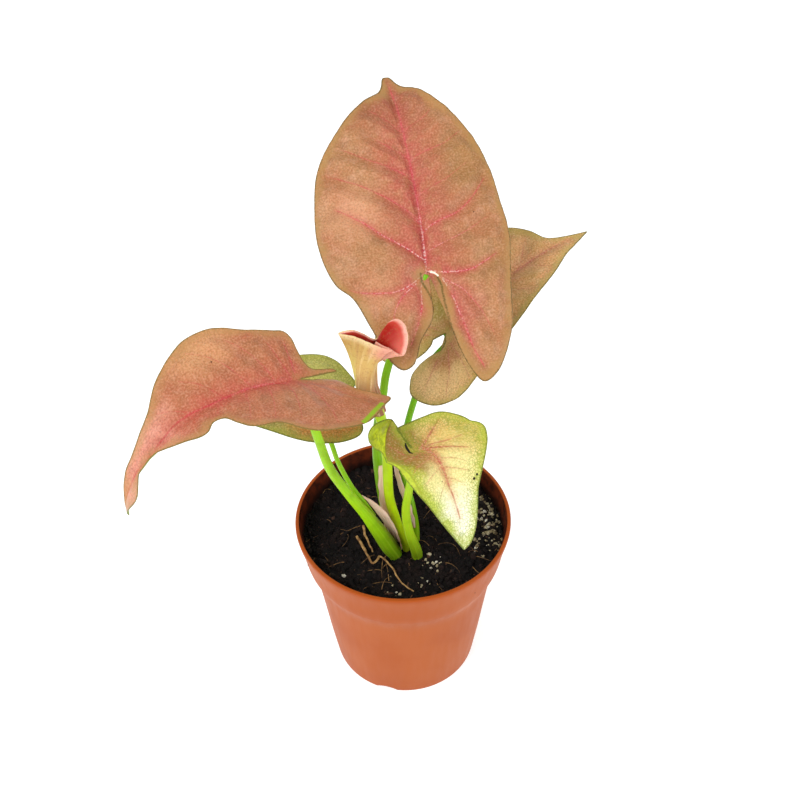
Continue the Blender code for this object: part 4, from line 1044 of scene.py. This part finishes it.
def blade_mesh(name):
    """The whole blade, closed: both faces, a rounded hem along the margin and along the notch."""
    points, faces, slots, values = [], [], [], {}
    for side, side_name in ((1, "right"), (-1, "left")):
        upper, lower, data = blade_half(name, side, side_name)
        rows, columns = upper.shape[:2]
        rim = (upper[:, -1] + lower[:, -1]) / 2
        outward = upper[:, -1] - upper[:, -2]
        rim = rim + outward / np.maximum(np.linalg.norm(outward, axis=1, keepdims=True), 1e-9) * HEM_BULGE
        first = sum(len(block) for block in points)
        points += [upper.reshape(-1, 3), lower.reshape(-1, 3), rim]
        for key, block in data.items():
            flat = block.reshape(rows * columns, -1)
            edge = block[:, -1].reshape(rows, -1)
            values.setdefault(key, []).extend([flat, flat, edge])
        top = first + np.arange(rows * columns).reshape(rows, columns)
        bottom = top + rows * columns
        hem = first + 2 * rows * columns + np.arange(rows)
        for i in range(rows - 1):
            for j in range(columns - 1):
                ring = (top[i, j], top[i, j + 1], top[i + 1, j + 1], top[i + 1, j])
                under = (bottom[i, j], bottom[i + 1, j], bottom[i + 1, j + 1], bottom[i, j + 1])
                faces += [ring[::side], under[::side]]
                slots += [0, 1]
            # Round the lobe the rows start on the stalk point, or slide along an open notch, which is closed
            slid = np.linalg.norm(upper[i + 1, 0] - upper[i, 0])
            if i < LEAVES[name]["lobe_rows"] and slid > SEAM_OPEN:
                closing = (top[i, 0], top[i + 1, 0], bottom[i + 1, 0], bottom[i, 0])
                faces.append(closing[::side])
                slots.append(0)
            ring = (top[i + 1, -1], top[i, -1], hem[i], hem[i + 1])
            under = (hem[i + 1], hem[i], bottom[i, -1], bottom[i + 1, -1])
            faces += [ring[::side], under[::side]]
            slots += [0, 1]
        for j in range(columns - 1):
            closing = (top[0, j + 1], top[0, j], bottom[0, j], bottom[0, j + 1])
            faces.append(closing[::side])
            slots.append(0)
        faces.append((top[0, -1], bottom[0, -1], hem[0])[::side])
        slots.append(0)
    values = {key: np.vstack(blocks) for key, blocks in values.items()}
    values = {key: data if data.shape[1] == 3 else data[:, 0] for key, data in values.items()}
    faces = [tuple(int(i) for i in face) for face in faces]
    mesh = mesh_from("blade_" + name, np.vstack(points), faces, values)
    mesh.polygons.foreach_set("material_index", slots)
    merge_doubles(mesh)
    mesh.shade_smooth()
    return mesh


def build_leaves():
    """Each open blade as a piece with its own upper face and the shared underside."""
    under = leaf_material("leaf blade underside", UNDERSIDE, 0.55)
    for name in LEAVES:
        face = leaf_material("leaf blade " + name, LEAF_FINISHES[name])
        place_piece("blade_" + name, blade_mesh(name), [face, under], ["leaf_" + name])


# Stalks, sheaths, rolled leaf and roots


def tube_tree():
    """A tube along an edge path, its width taken from the points and ribbed lengthwise."""
    tree, given = new_tree("Tube along a path", {
        "Sides": "NodeSocketInt", "Rib Count": "NodeSocketFloat", "Rib Depth": "NodeSocketFloat",
        "Material": "NodeSocketMaterial"})
    path = add(tree, "GeometryNodeMeshToCurve", {0: given["Geometry"]})
    factor = add(tree, "GeometryNodeSplineParameter")
    path = add(tree, "GeometryNodeStoreNamedAttribute", {0: path, "Name": "along", "Value": factor})
    ring = add(tree, "GeometryNodeCurvePrimitiveCircle", {0: given["Sides"], "Radius": 1.0})
    turn = add(tree, "GeometryNodeSplineParameter")
    ring = add(tree, "GeometryNodeStoreNamedAttribute", {0: ring, "Name": "around", "Value": turn})
    turns = add(tree, "ShaderNodeMath", {0: turn, 1: given["Rib Count"]}, operation="MULTIPLY")
    angle = add(tree, "ShaderNodeMath", {0: turns, 1: math.tau}, operation="MULTIPLY")
    crest = add(tree, "ShaderNodeMath", {0: angle}, operation="COSINE")
    swell = add(tree, "ShaderNodeMath", {0: crest, 1: given["Rib Depth"], 2: 1.0}, operation="MULTIPLY_ADD")
    place = add(tree, "GeometryNodeInputPosition")
    ribbed = add(tree, "ShaderNodeVectorMath", {0: place, "Scale": swell}, operation="SCALE")
    ring = add(tree, "GeometryNodeSetPosition", {0: ring, "Position": ribbed})
    width = add(tree, "GeometryNodeInputNamedAttribute", {0: "width"}, data_type="FLOAT")
    tube = add(tree, "GeometryNodeCurveToMesh", {0: path, 1: ring, 2: width, 3: True})
    end_tree(tree, tube, given["Material"])
    return tree


def path_mesh(name, route, edges=None):
    """Edges through (x, y, z, radius) points in millimetres, one chain unless the edges are given."""
    if edges is None:
        edges = [(i, i + 1) for i in range(len(route) - 1)]
    mesh = bpy.data.meshes.new(name)
    mesh.from_pydata((route[:, :3] * MM).tolist(), edges, [])
    store_values(mesh, "width", route[:, 3] * MM)
    return mesh


def stalk_route(name, steps):
    """The stalk's whole route, from the stem up to the blade."""
    route = [list(point) for point in STALKS[name]]
    foot = list(route[0])
    if name != "lower":
        foot[2] = STEM_FOOT
        route.insert(0, foot)
    radius = route[-1][3]
    if name in LEAVES:
        leaf = LEAVES[name]
        right, tipward, upward = leaf_axes(leaf)
        at = np.array(leaf["at"])
        away = tipward * leaf["approach"][0] + right * leaf["approach"][1]
        route.append([*(at - upward * STALK_TURN - away), radius])
        route.append([*(at - upward * 1.4 - away * 0.6), radius * 0.95])
        route.append([*(at - upward * 0.5 - away * 0.3), radius * 0.75])
    else:
        route.append([*ROLLED_LEAF_FOOT, radius])
    return smooth_path(route, steps)


def smooth_stalk(name):
    """The stalk's fine route, its ends drawn in so that they close round."""
    route = stalk_route(name, 14)
    wobble = 1 + 0.03 * bumps(route[:, :3], 9, 5)
    route[:, 3] = route[:, 3] * wobble
    ends = [(route[0], -1), (route[-1], 1)]
    caps = []
    for end, way in ends:
        ahead = (route[1] - route[0])[:3] if way < 0 else (route[-1] - route[-2])[:3]
        ahead = ahead / np.linalg.norm(ahead) * way
        caps.append([[*(end[:3] + ahead * end[3] * 0.35 * math.sin(t)), end[3] * math.cos(t)]
                     for t in (0.5, 0.95, 1.3)])
    return np.vstack([caps[0][::-1], route, caps[1]])


def build_stalks(tree):
    """Each stalk as a ribbed tube, its material shaded from foot to top."""
    looks = {
        "top": ("#688A06", "#74A804", "#66A800"),
        "right": ("#6E9208", "#66A404", "#5EA202"),
        "left": ("#5E8208", "#94C60C", "#8CC408"),
        "lower": ("#84B60C", "#84B80C", "#80B608"),
        "front": ("#6E9008", "#9CC01C", "#A6C830"),
        "rolled": ("#8C9C10", "#AACA08", "#B6DA14"),
    }
    for name, colours in looks.items():
        route = smooth_stalk(name)
        piece = "stalk_" + name
        run_tree(piece, path_mesh(piece, route), tree, piece, ["petiole_" + name],
                 **{"Sides": STALK_SIDES, "Rib Count": 7.0, "Rib Depth": 0.025,
                    "Material": stalk_material("living stalk " + name, *colours)})


def grid_faces(rows, columns):
    """The faces between rows of points."""
    return [(a, a + 1, a + columns + 1, a + columns)
            for i in range(rows - 1) for a in range(i * columns, i * columns + columns - 1)]


def build_sheaths():
    """The papery sheaths, wrapped part way round the feet of three stalks."""
    material = sheath_material()
    for name, (stalk, first, last, middle, half, flare, wing) in SHEATHS.items():
        path = resample(stalk_route(stalk, 3), 181)
        path = resample(path[round(first * 180):round(last * 180) + 1], SHEATH_ROWS)
        rows, columns = SHEATH_ROWS, SHEATH_COLUMNS
        points, part_values, turn_values = [], [], []
        for i, place in enumerate(path):
            ahead = path[min(i + 1, rows - 1)][:3] - path[max(i - 1, 0)][:3]
            ahead = ahead / np.linalg.norm(ahead)
            side = np.cross(ahead, [0, 1, 0])
            side = side / np.linalg.norm(side)
            out = np.cross(side, ahead)
            part = i / (rows - 1)
            for j in range(columns + 1):
                across = 2 * j / columns - 1
                radius = place[3] + SHEATH_GAP + flare * part ** 2
                radius += wing * ((1 + across) / 2) ** 1.5 * math.sin(math.pi * part ** 1.3) ** 0.8
                torn = 1 + 0.14 * noise.noise(Vector((i / 7, math.copysign(3, across), len(name))))
                spread = math.radians(half) * (1 - 0.72 * part ** 2) * torn
                angle = math.radians(middle) + spread * across
                rumple = 0.22 * noise.noise(Vector((i / 9, 2.2 * across, len(name) + 5)))
                around = math.cos(angle) * side + math.sin(angle) * out
                points.append(place[:3] + (radius + rumple) * around)
                part_values.append(part)
                turn_values.append(across)
        faces = grid_faces(rows, columns + 1)
        mesh = mesh_from("sheath_skin_" + name, points, faces, {"part": part_values, "turn": turn_values})
        place_piece("sheath_skin_" + name, mesh, [material], ["sheath_" + name], SHEATH_THICKNESS)


def build_rolled_leaf():
    """The young leaf wound into a funnel, its last part tucked inside its first."""
    mouth = resample(smooth_path(ROLL_MOUTH + ROLL_MOUTH[:1], 24), ROLL_STEPS + 1)
    mouth = np.vstack([mouth, mouth[1:ROLL_LAP + 1]])
    turns = len(mouth)
    order = np.arange(turns)
    tuck = np.clip((order - ROLL_TUCK_FROM) / ROLL_TUCK_RUN, 0, 1) * ROLL_INNER_GAP
    centre = mouth[:ROLL_STEPS].mean(0)
    around = np.arctan2(mouth[:, 1] - centre[1], mouth[:, 0] - centre[0])
    opening = ROLL_OPENING + ROLL_SCOOP * np.clip((mouth[:, 0] + 6) / 7, 0, 1)
    points, rises, turn_values = [], [], []
    for row in range(ROLL_ROWS + 1):
        rise = row / ROLL_ROWS
        low = min(rise / ROLL_WAIST_SHARE, 1)
        flare = max(rise - ROLL_WAIST_SHARE, 0) / (1 - ROLL_WAIST_SHARE)
        axis = np.array(ROLL_FOOT) + (np.array(ROLL_WAIST) - np.array(ROLL_FOOT)) * low
        radius = ROLL_FOOT_RADIUS + (ROLL_WAIST_RADIUS - ROLL_FOOT_RADIUS) * low
        ring = axis + radius * np.stack([np.cos(around), np.sin(around), 0 * around], 1)
        place = ring.copy()
        place[:, :2] += (mouth[:, :2] - ring[:, :2]) * (flare ** opening)[:, None]
        place[:, 2] += (mouth[:, 2] - ring[:, 2]) * flare
        inward = axis[:2] + (centre[:2] - axis[:2]) * flare ** 1.8 - place[:, :2]
        inward = inward / np.linalg.norm(inward, axis=1, keepdims=True)
        ripple = 0.12 * bumps(np.stack([order / 4, 0 * order + rise * 3, 0 * order], 1), 1.0, 2)
        place[:, :2] += inward * (tuck + ripple)[:, None]
        points.append(place)
        rises.append(np.full(turns, rise))
        turn_values.append(order / ROLL_STEPS)
    values = {"rise": np.concatenate(rises), "turn": np.concatenate(turn_values)}
    faces = [face[::-1] for face in grid_faces(ROLL_ROWS + 1, turns)]
    mesh = mesh_from("rolled_blade", np.vstack(points), faces, values)
    faces_in_and_out = [roll_material("young leaf outside", True), roll_material("young leaf inside", False)]
    place_piece("rolled_blade", mesh, faces_in_and_out, ["leaf_rolled"], ROLL_THICKNESS, 1)


def build_roots(tree):
    """The two dry roots, kinked and tapering, just clear of the soil."""
    for name, places in ROOTS.items():
        path = resample(smooth_path(places, 12), 90)
        heights = [soil_height(x, y) + ROOT_RADIUS + ROOT_CLEARANCE for x, y in path]
        route = np.column_stack([path, heights])
        route[:, :2] += 0.35 * np.column_stack([bumps(route, 2.5, 1), bumps(route, 2.5, 9)])
        thin = ROOT_RADIUS * (1 + 0.35 * bumps(route, 2.0, 4)) * np.linspace(1.15, 0.55, len(route))
        route = np.column_stack([route, thin])
        run_tree("dry_root_" + name, path_mesh("dry_root_" + name, route), tree, "root", ["root_" + name],
                 **{"Sides": 10, "Rib Count": 3.0, "Rib Depth": 0.12,
                    "Material": fibre_material("dry root " + name, "#B08A56", "#7A5630")})


# Pot and soil


def turned_mesh(name, profile, steps):
    """Rings of points turned about Z, closed at both ends on the axis, outer side first."""
    radii = np.array([r for r, _ in profile])
    heights = np.array([z for _, z in profile])
    angles = np.arange(steps) * math.tau / steps
    rings = np.stack([radii[:, None] * np.cos(angles), radii[:, None] * np.sin(angles),
                      np.repeat(heights[:, None], steps, 1)], 2)
    rows = len(profile)
    faces = []
    for i in range(rows - 1):
        for j in range(steps):
            k = (j + 1) % steps
            faces.append((i * steps + j, (i + 1) * steps + j, (i + 1) * steps + k, i * steps + k))
    mesh = mesh_from(name, rings.reshape(-1, 3), faces)
    merge_doubles(mesh)
    mesh.shade_smooth()
    return mesh


def wall_radius(height):
    """Radius of the pot's inner wall at a height."""
    radii, heights = zip(*POT_LINE)
    return float(np.interp(height, heights, radii)) - POT_WALL


def build_pot():
    """The moulded pot: smoothed wall, rounded rim bead, floor, and drain notches cut through the foot."""
    outer = smooth_path([(r, z) for r, z in reversed(POT_LINE)], 5)
    inner = [(r - POT_WALL, z) for r, z in smooth_path(POT_LINE[1:-1], 5)]
    mouth = wall_radius(POT_HEIGHT)
    lip = [(mouth, POT_HEIGHT - 0.9), (mouth + 0.05, POT_HEIGHT - 0.35), (mouth + 0.22, POT_HEIGHT - 0.08),
           (mouth + 0.5, POT_HEIGHT), (RIM_RADIUS - 0.5, POT_HEIGHT), (RIM_RADIUS - 0.18, POT_HEIGHT - 0.1),
           (RIM_RADIUS - 0.02, POT_HEIGHT - 0.35), (RIM_RADIUS, POT_HEIGHT - 0.8)]
    foot = [(FOOT_RADIUS - 0.12, 0.6), (FOOT_RADIUS - 0.4, 0.18), (FOOT_RADIUS - 0.9, 0),
            (FOOT_RADIUS - 6, 0), (8, 0), (0, 0)]
    floor = [(0, POT_FLOOR), (8, POT_FLOOR), (FOOT_RADIUS - 3.2, POT_FLOOR),
             (wall_radius(3) - 0.3, POT_FLOOR + 0.4), (wall_radius(3), POT_FLOOR + 1.3)]
    profile = [*floor, *inner, *lip, *outer, *foot]
    mesh = turned_mesh("nursery_pot", profile, POT_STEPS)
    piece = link_object("nursery_pot", mesh)
    cutters = []
    for i in range(NOTCH_COUNT):
        turn = NOTCH_TURN + i * math.tau / NOTCH_COUNT
        centre = Vector((math.cos(turn), math.sin(turn), 0)) * (FOOT_RADIUS - 1) * MM
        centre.z = (NOTCH_HEIGHT - NOTCH_RADIUS) * MM
        turned = Matrix.Translation(centre) @ Matrix.Rotation(turn, 4, "Z")
        turned = turned @ Matrix.Rotation(math.pi / 2, 4, "Y")
        round_bar = bmesh.new()
        bmesh.ops.create_cone(round_bar, cap_ends=True, segments=96, radius1=NOTCH_RADIUS * MM,
                              radius2=NOTCH_RADIUS * MM, depth=NOTCH_CUT_LENGTH * MM, matrix=turned)
        bar_mesh = bpy.data.meshes.new(f"notch bar {i + 1}")
        round_bar.to_mesh(bar_mesh)
        round_bar.free()
        cutter = link_object(f"notch bar {i + 1}", bar_mesh)
        cutters.append(cutter)
        boolean = piece.modifiers.new(cutter.name, "BOOLEAN")
        boolean.operation = "DIFFERENCE"
        boolean.solver = "EXACT"
        boolean.object = cutter
    apply_modifiers(piece)
    for cutter in cutters:
        bpy.data.objects.remove(cutter, do_unlink=True)
    # How far in from the inner wall each point lies, where the painted shade is laid
    depth = [wall_radius(z) + INNER_SHADE_FADE - math.hypot(x, y) if z > POT_FLOOR else 0
             for x, y, z in points_of(piece.data)]
    store_values(piece.data, "inside", np.clip(np.array(depth) / INNER_SHADE_FADE, 0, 1))
    piece.data.shade_smooth()
    piece.data.set_sharp_from_angle(angle=SHARP_EDGE)
    piece.data.materials.append(pot_material())
    dress(piece, ["pot"])


def soil_height(x, y):
    """Height of the soil surface, as in the solid, without its fine crumbs."""
    bump = noise.noise(Vector((x / SOIL_BUMP_SIZE, y / SOIL_BUMP_SIZE, 4.2)))
    dome = 1 - min(math.hypot(x, y) / RIM_RADIUS, 1) ** 2
    return SOIL_TOP - 0.6 + SOIL_BUMP * bump + 0.6 * dome


def scatter_tree():
    """Lumps of a few random shapes strewn over a surface, each with its own size, turn and tone."""
    tree, given = new_tree("Strewn lumps", {
        "Small": "NodeSocketFloat", "Large": "NodeSocketFloat", "Width": "NodeSocketFloat",
        "Height": "NodeSocketFloat", "Tilt": "NodeSocketFloat", "Detail": "NodeSocketInt",
        "Density": "NodeSocketFloat", "Spread": "NodeSocketString", "Seed": "NodeSocketInt",
        "Material": "NodeSocketMaterial"})
    amount = add(tree, "GeometryNodeInputNamedAttribute", {0: given["Spread"]}, data_type="FLOAT")
    density = add(tree, "ShaderNodeMath", {0: amount, 1: given["Density"]}, operation="MULTIPLY")
    strewn = add(tree, "GeometryNodeDistributePointsOnFaces",
                 {0: given["Geometry"], "Density": density, "Seed": given["Seed"]})
    kinds = tree.nodes.new("GeometryNodeJoinGeometry")
    place = add(tree, "GeometryNodeInputPosition")
    shape = add(tree, "ShaderNodeCombineXYZ", {0: 1.0, 1: given["Width"], 2: given["Height"]})
    for number in range(LUMP_KINDS):
        ball = add(tree, "GeometryNodeMeshIcoSphere", {"Radius": 1.0, "Subdivisions": given["Detail"]})
        rough = add(tree, "ShaderNodeTexNoise",
                    {"Vector": place, "W": 3.7 * number + 1.1, "Scale": 0.9, "Detail": 2.0, "Roughness": 0.7},
                    out=1, noise_dimensions="4D")
        away = add(tree, "ShaderNodeVectorMath", {0: rough, 1: (0.5, 0.5, 0.5)}, operation="SUBTRACT")
        push = add(tree, "ShaderNodeVectorMath", {0: away, "Scale": LUMP_ROUGHNESS}, operation="SCALE")
        lump = add(tree, "GeometryNodeSetPosition", {0: ball, "Offset": push})
        lump = add(tree, "GeometryNodeTransform", {0: lump, "Scale": shape})
        lump = add(tree, "GeometryNodeGeometryToInstance", {0: lump})
        tree.links.new(lump, kinds.inputs[0])
    pick = add(tree, "FunctionNodeRandomValue", {4: 0, 5: LUMP_KINDS - 1, 8: given["Seed"]}, out=2,
               data_type="INT")
    back = add(tree, "ShaderNodeMath", {0: given["Tilt"], 1: -1.0}, operation="MULTIPLY")
    low = add(tree, "ShaderNodeCombineXYZ", {0: back, 1: back, 2: 0.0})
    high = add(tree, "ShaderNodeCombineXYZ", {0: given["Tilt"], 1: given["Tilt"], 2: math.tau})
    turn = add(tree, "FunctionNodeRandomValue", {0: low, 1: high, 8: given["Seed"]},
               data_type="FLOAT_VECTOR")
    chance = add(tree, "FunctionNodeRandomValue", {2: 0.0, 3: 1.0, 8: given["Seed"]}, out=1,
                 data_type="FLOAT")
    # Most lumps are near the small end
    skewed = add(tree, "ShaderNodeMath", {0: chance, 1: SMALL_LUMP_POWER}, operation="POWER")
    size = add(tree, "ShaderNodeMapRange", {0: skewed, 3: given["Small"], 4: given["Large"]})
    lumps = add(tree, "GeometryNodeInstanceOnPoints",
                {0: strewn, 2: kinds.outputs[0], 3: True, 4: pick, 5: turn, 6: size})
    tone = add(tree, "FunctionNodeRandomValue", {2: 0.0, 3: 1.0, 8: 5}, out=1, data_type="FLOAT")
    lumps = add(tree, "GeometryNodeStoreNamedAttribute", {0: lumps, "Name": "tone", "Value": tone},
                domain="INSTANCE")
    end_tree(tree, lumps, given["Material"])
    return tree


def build_soil():
    """The peat: a fine crumbly top over plain sides that touch the pot wall."""
    edge = wall_radius(SOIL_TOP) - 0.02
    profile = [(edge * i / SOIL_RINGS, SOIL_TOP) for i in range(SOIL_RINGS + 1)]
    profile += [(wall_radius(z) - 0.05, z) for z in (56, 46.5, 27, 4)] + [(0, POT_FLOOR + 0.3)]
    mesh = turned_mesh("peat_bed", profile, SOIL_STEPS)
    points = points_of(mesh)
    top = points[:, 2] > SOIL_TOP - 0.1
    places = points[top]
    broad, middling, fine = CRUMB_SIZES
    rough = 0.75 * bumps(places, broad, 2) + 0.45 * bumps(places, middling, 6)
    rough = rough + 0.25 * np.abs(bumps(places, fine, 9))
    points[top, 2] = [soil_height(x, y) for x, y, _ in places] + rough
    mesh.vertices.foreach_set("co", (points * MM).ravel())
    amount = np.zeros(len(points))
    for x, y, spread, thick in PERLITE_SPOTS:
        amount += thick * np.exp(-((points[:, 0] - x) ** 2 + (points[:, 1] - y) ** 2) / spread ** 2)
    store_values(mesh, "perlite", np.where(top, amount, 0))
    store_values(mesh, "top", top)
    mesh.update()
    bed = place_piece("peat_bed", mesh, [peat_material("damp peat bed", "#070404", "#140B0A", "#221512")],
                      ["soil"])
    bed.data.shade_smooth()
    crumbs = scatter_tree()
    looks = {
        "peat_clods": (0.42, 1.3, 0.9, 0.9, math.pi, 2, 0.35e6, "top", 11,
                       peat_material("peat clods", "#090505", "#1A0F0D", "#2E1E1A")),
        "peat_crumbs": (0.2, 0.5, 0.9, 0.8, math.pi, 1, 1.5e6, "top", 23,
                        peat_material("peat crumbs", "#0D0707", "#281814", "#54392E")),
        "bark_flakes": (0.6, 2.0, 0.45, 0.22, 0.5, 2, 0.035e6, "top", 31, bark_material()),
        "perlite_grains": (0.35, 0.95, 0.85, 0.8, math.pi, 2, 0.5e6, "perlite", 47, perlite_material()),
    }
    for name, (small, large, width, height, tilt, detail, density, spread, seed, material) in looks.items():
        run_tree(name, mesh.copy(), crumbs, "soil", (),
                 **{"Small": small * MM, "Large": large * MM, "Width": width, "Height": height, "Tilt": tilt,
                    "Detail": detail, "Density": density, "Seed": seed, "Material": material,
                    "Spread": spread})


def build_fibres(tree):
    """Loose root fibres on the peat, their ends dipping into it."""
    chance = random.Random(12)
    route, edges = [], []
    bound = wall_radius(SOIL_TOP) - FIBRE_EDGE_GAP
    for _ in range(FIBRE_COUNT):
        reach = FIBRE_SPREAD * math.sqrt(chance.random())
        angle = chance.uniform(0, math.tau)
        at = np.array([reach * math.cos(angle), reach * math.sin(angle)])
        heading = chance.uniform(0, math.tau)
        length = chance.uniform(3, 12)
        turn = chance.uniform(-1.6, 1.6) / length
        rise = chance.uniform(0.5, 1.6)
        radius = chance.uniform(0.06, 0.17)
        for i in range(FIBRE_POINTS):
            part = i / (FIBRE_POINTS - 1)
            stray = 0.25 * noise.noise(Vector((at[0] / 2, at[1] / 2, radius * 90)))
            heading += (turn + stray) * length / FIBRE_POINTS
            at = at + np.array([math.cos(heading), math.sin(heading)]) * length / FIBRE_POINTS
            if np.hypot(*at) > bound:
                at = at * bound / np.hypot(*at)
            height = soil_height(*at) + 0.3 + rise * math.sin(math.pi * part) ** 0.5 - 0.5
            route.append((*at, height, radius * (1 - 0.6 * part)))
            if i:
                edges.append((len(route) - 2, len(route) - 1))
    run_tree("root_fibres", path_mesh("root_fibres", np.array(route), edges), tree, "root", (),
             **{"Sides": 6, "Rib Count": 0.0, "Rib Depth": 0.0,
                "Material": fibre_material("loose root fibre", "#8E6A40", "#4E3524")})


def dress_crown():
    """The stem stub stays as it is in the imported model, hidden by the peat."""
    material = stalk_material("living stem base", "#7E8A3C", "#7E8A3C", "#8A9440")
    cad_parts["crown"].material_slots[0].material = material


def add_light(name, place, aim, size, power):
    """A round white lamp turned towards a point; places and its size in metres, its power in watts."""
    light = bpy.data.lights.new(name, "AREA")
    light.shape = "DISK"
    light.size = size
    light.energy = power
    light.color = linear("#FFFFFF")[:3]
    lamp = link_object(name, light)
    lamp.location = place
    lamp.rotation_euler = (Vector(aim) - Vector(place)).to_track_quat("-Z", "Y").to_euler()


def build_studio():
    """Camera, a pale floor and soft light from the front left."""
    scene = bpy.context.scene
    data = bpy.data.cameras.new("photo camera")
    data.lens = LENS_MM
    data.sensor_width = SENSOR_MM
    data.clip_start = 0.01
    camera = link_object("photo camera", data)
    turned = Matrix([CAMERA_RIGHT, CAMERA_UP, CAMERA_BACK]).transposed().to_4x4()
    camera.matrix_world = Matrix.Translation(CAMERA_AT) @ turned
    scene.camera = camera
    scene.view_settings.view_transform = "Standard"
    world = bpy.data.worlds.new("studio")
    world.use_nodes = True
    world.node_tree.nodes["Background"].inputs[0].default_value = linear("#FFFFFF")
    world.node_tree.nodes["Background"].inputs[1].default_value = WORLD_LIGHT
    scene.world = world
    mesh = bpy.data.meshes.new("floor")
    mesh.from_pydata([(-3, -3, 0), (3, -3, 0), (3, 3, 0), (-3, 3, 0)], [], [(0, 1, 2, 3)])
    paper = {"Base Color": linear("#D2D2D2"), "Roughness": 0.9, "Specular IOR Level": 0.1,
             "Emission Color": linear("#FFFFFF"), "Emission Strength": FLOOR_GLOW}
    mesh.materials.append(new_material("matt white paper", paper)[0])
    floor = link_object("floor", mesh)
    add_light("key softbox", (-0.7, -0.6, 0.85), (0, 0, 0.1), 0.8, KEY_LIGHT)
    add_light("side softbox", (0.75, -0.3, 0.4), (0, 0, 0.08), 0.35, SIDE_LIGHT)


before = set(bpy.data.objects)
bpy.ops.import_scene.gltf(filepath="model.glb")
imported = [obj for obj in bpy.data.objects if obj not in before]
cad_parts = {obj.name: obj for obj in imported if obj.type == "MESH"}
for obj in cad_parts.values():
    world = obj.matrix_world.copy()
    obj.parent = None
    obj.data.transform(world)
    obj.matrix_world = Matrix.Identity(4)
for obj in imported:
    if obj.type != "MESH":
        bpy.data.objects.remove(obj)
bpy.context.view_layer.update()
build_studio()
tube = tube_tree()
build_pot()
build_soil()
build_leaves()
build_rolled_leaf()
build_stalks(tube)
build_sheaths()
build_roots(tube)
build_fibres(tube)
dress_crown()
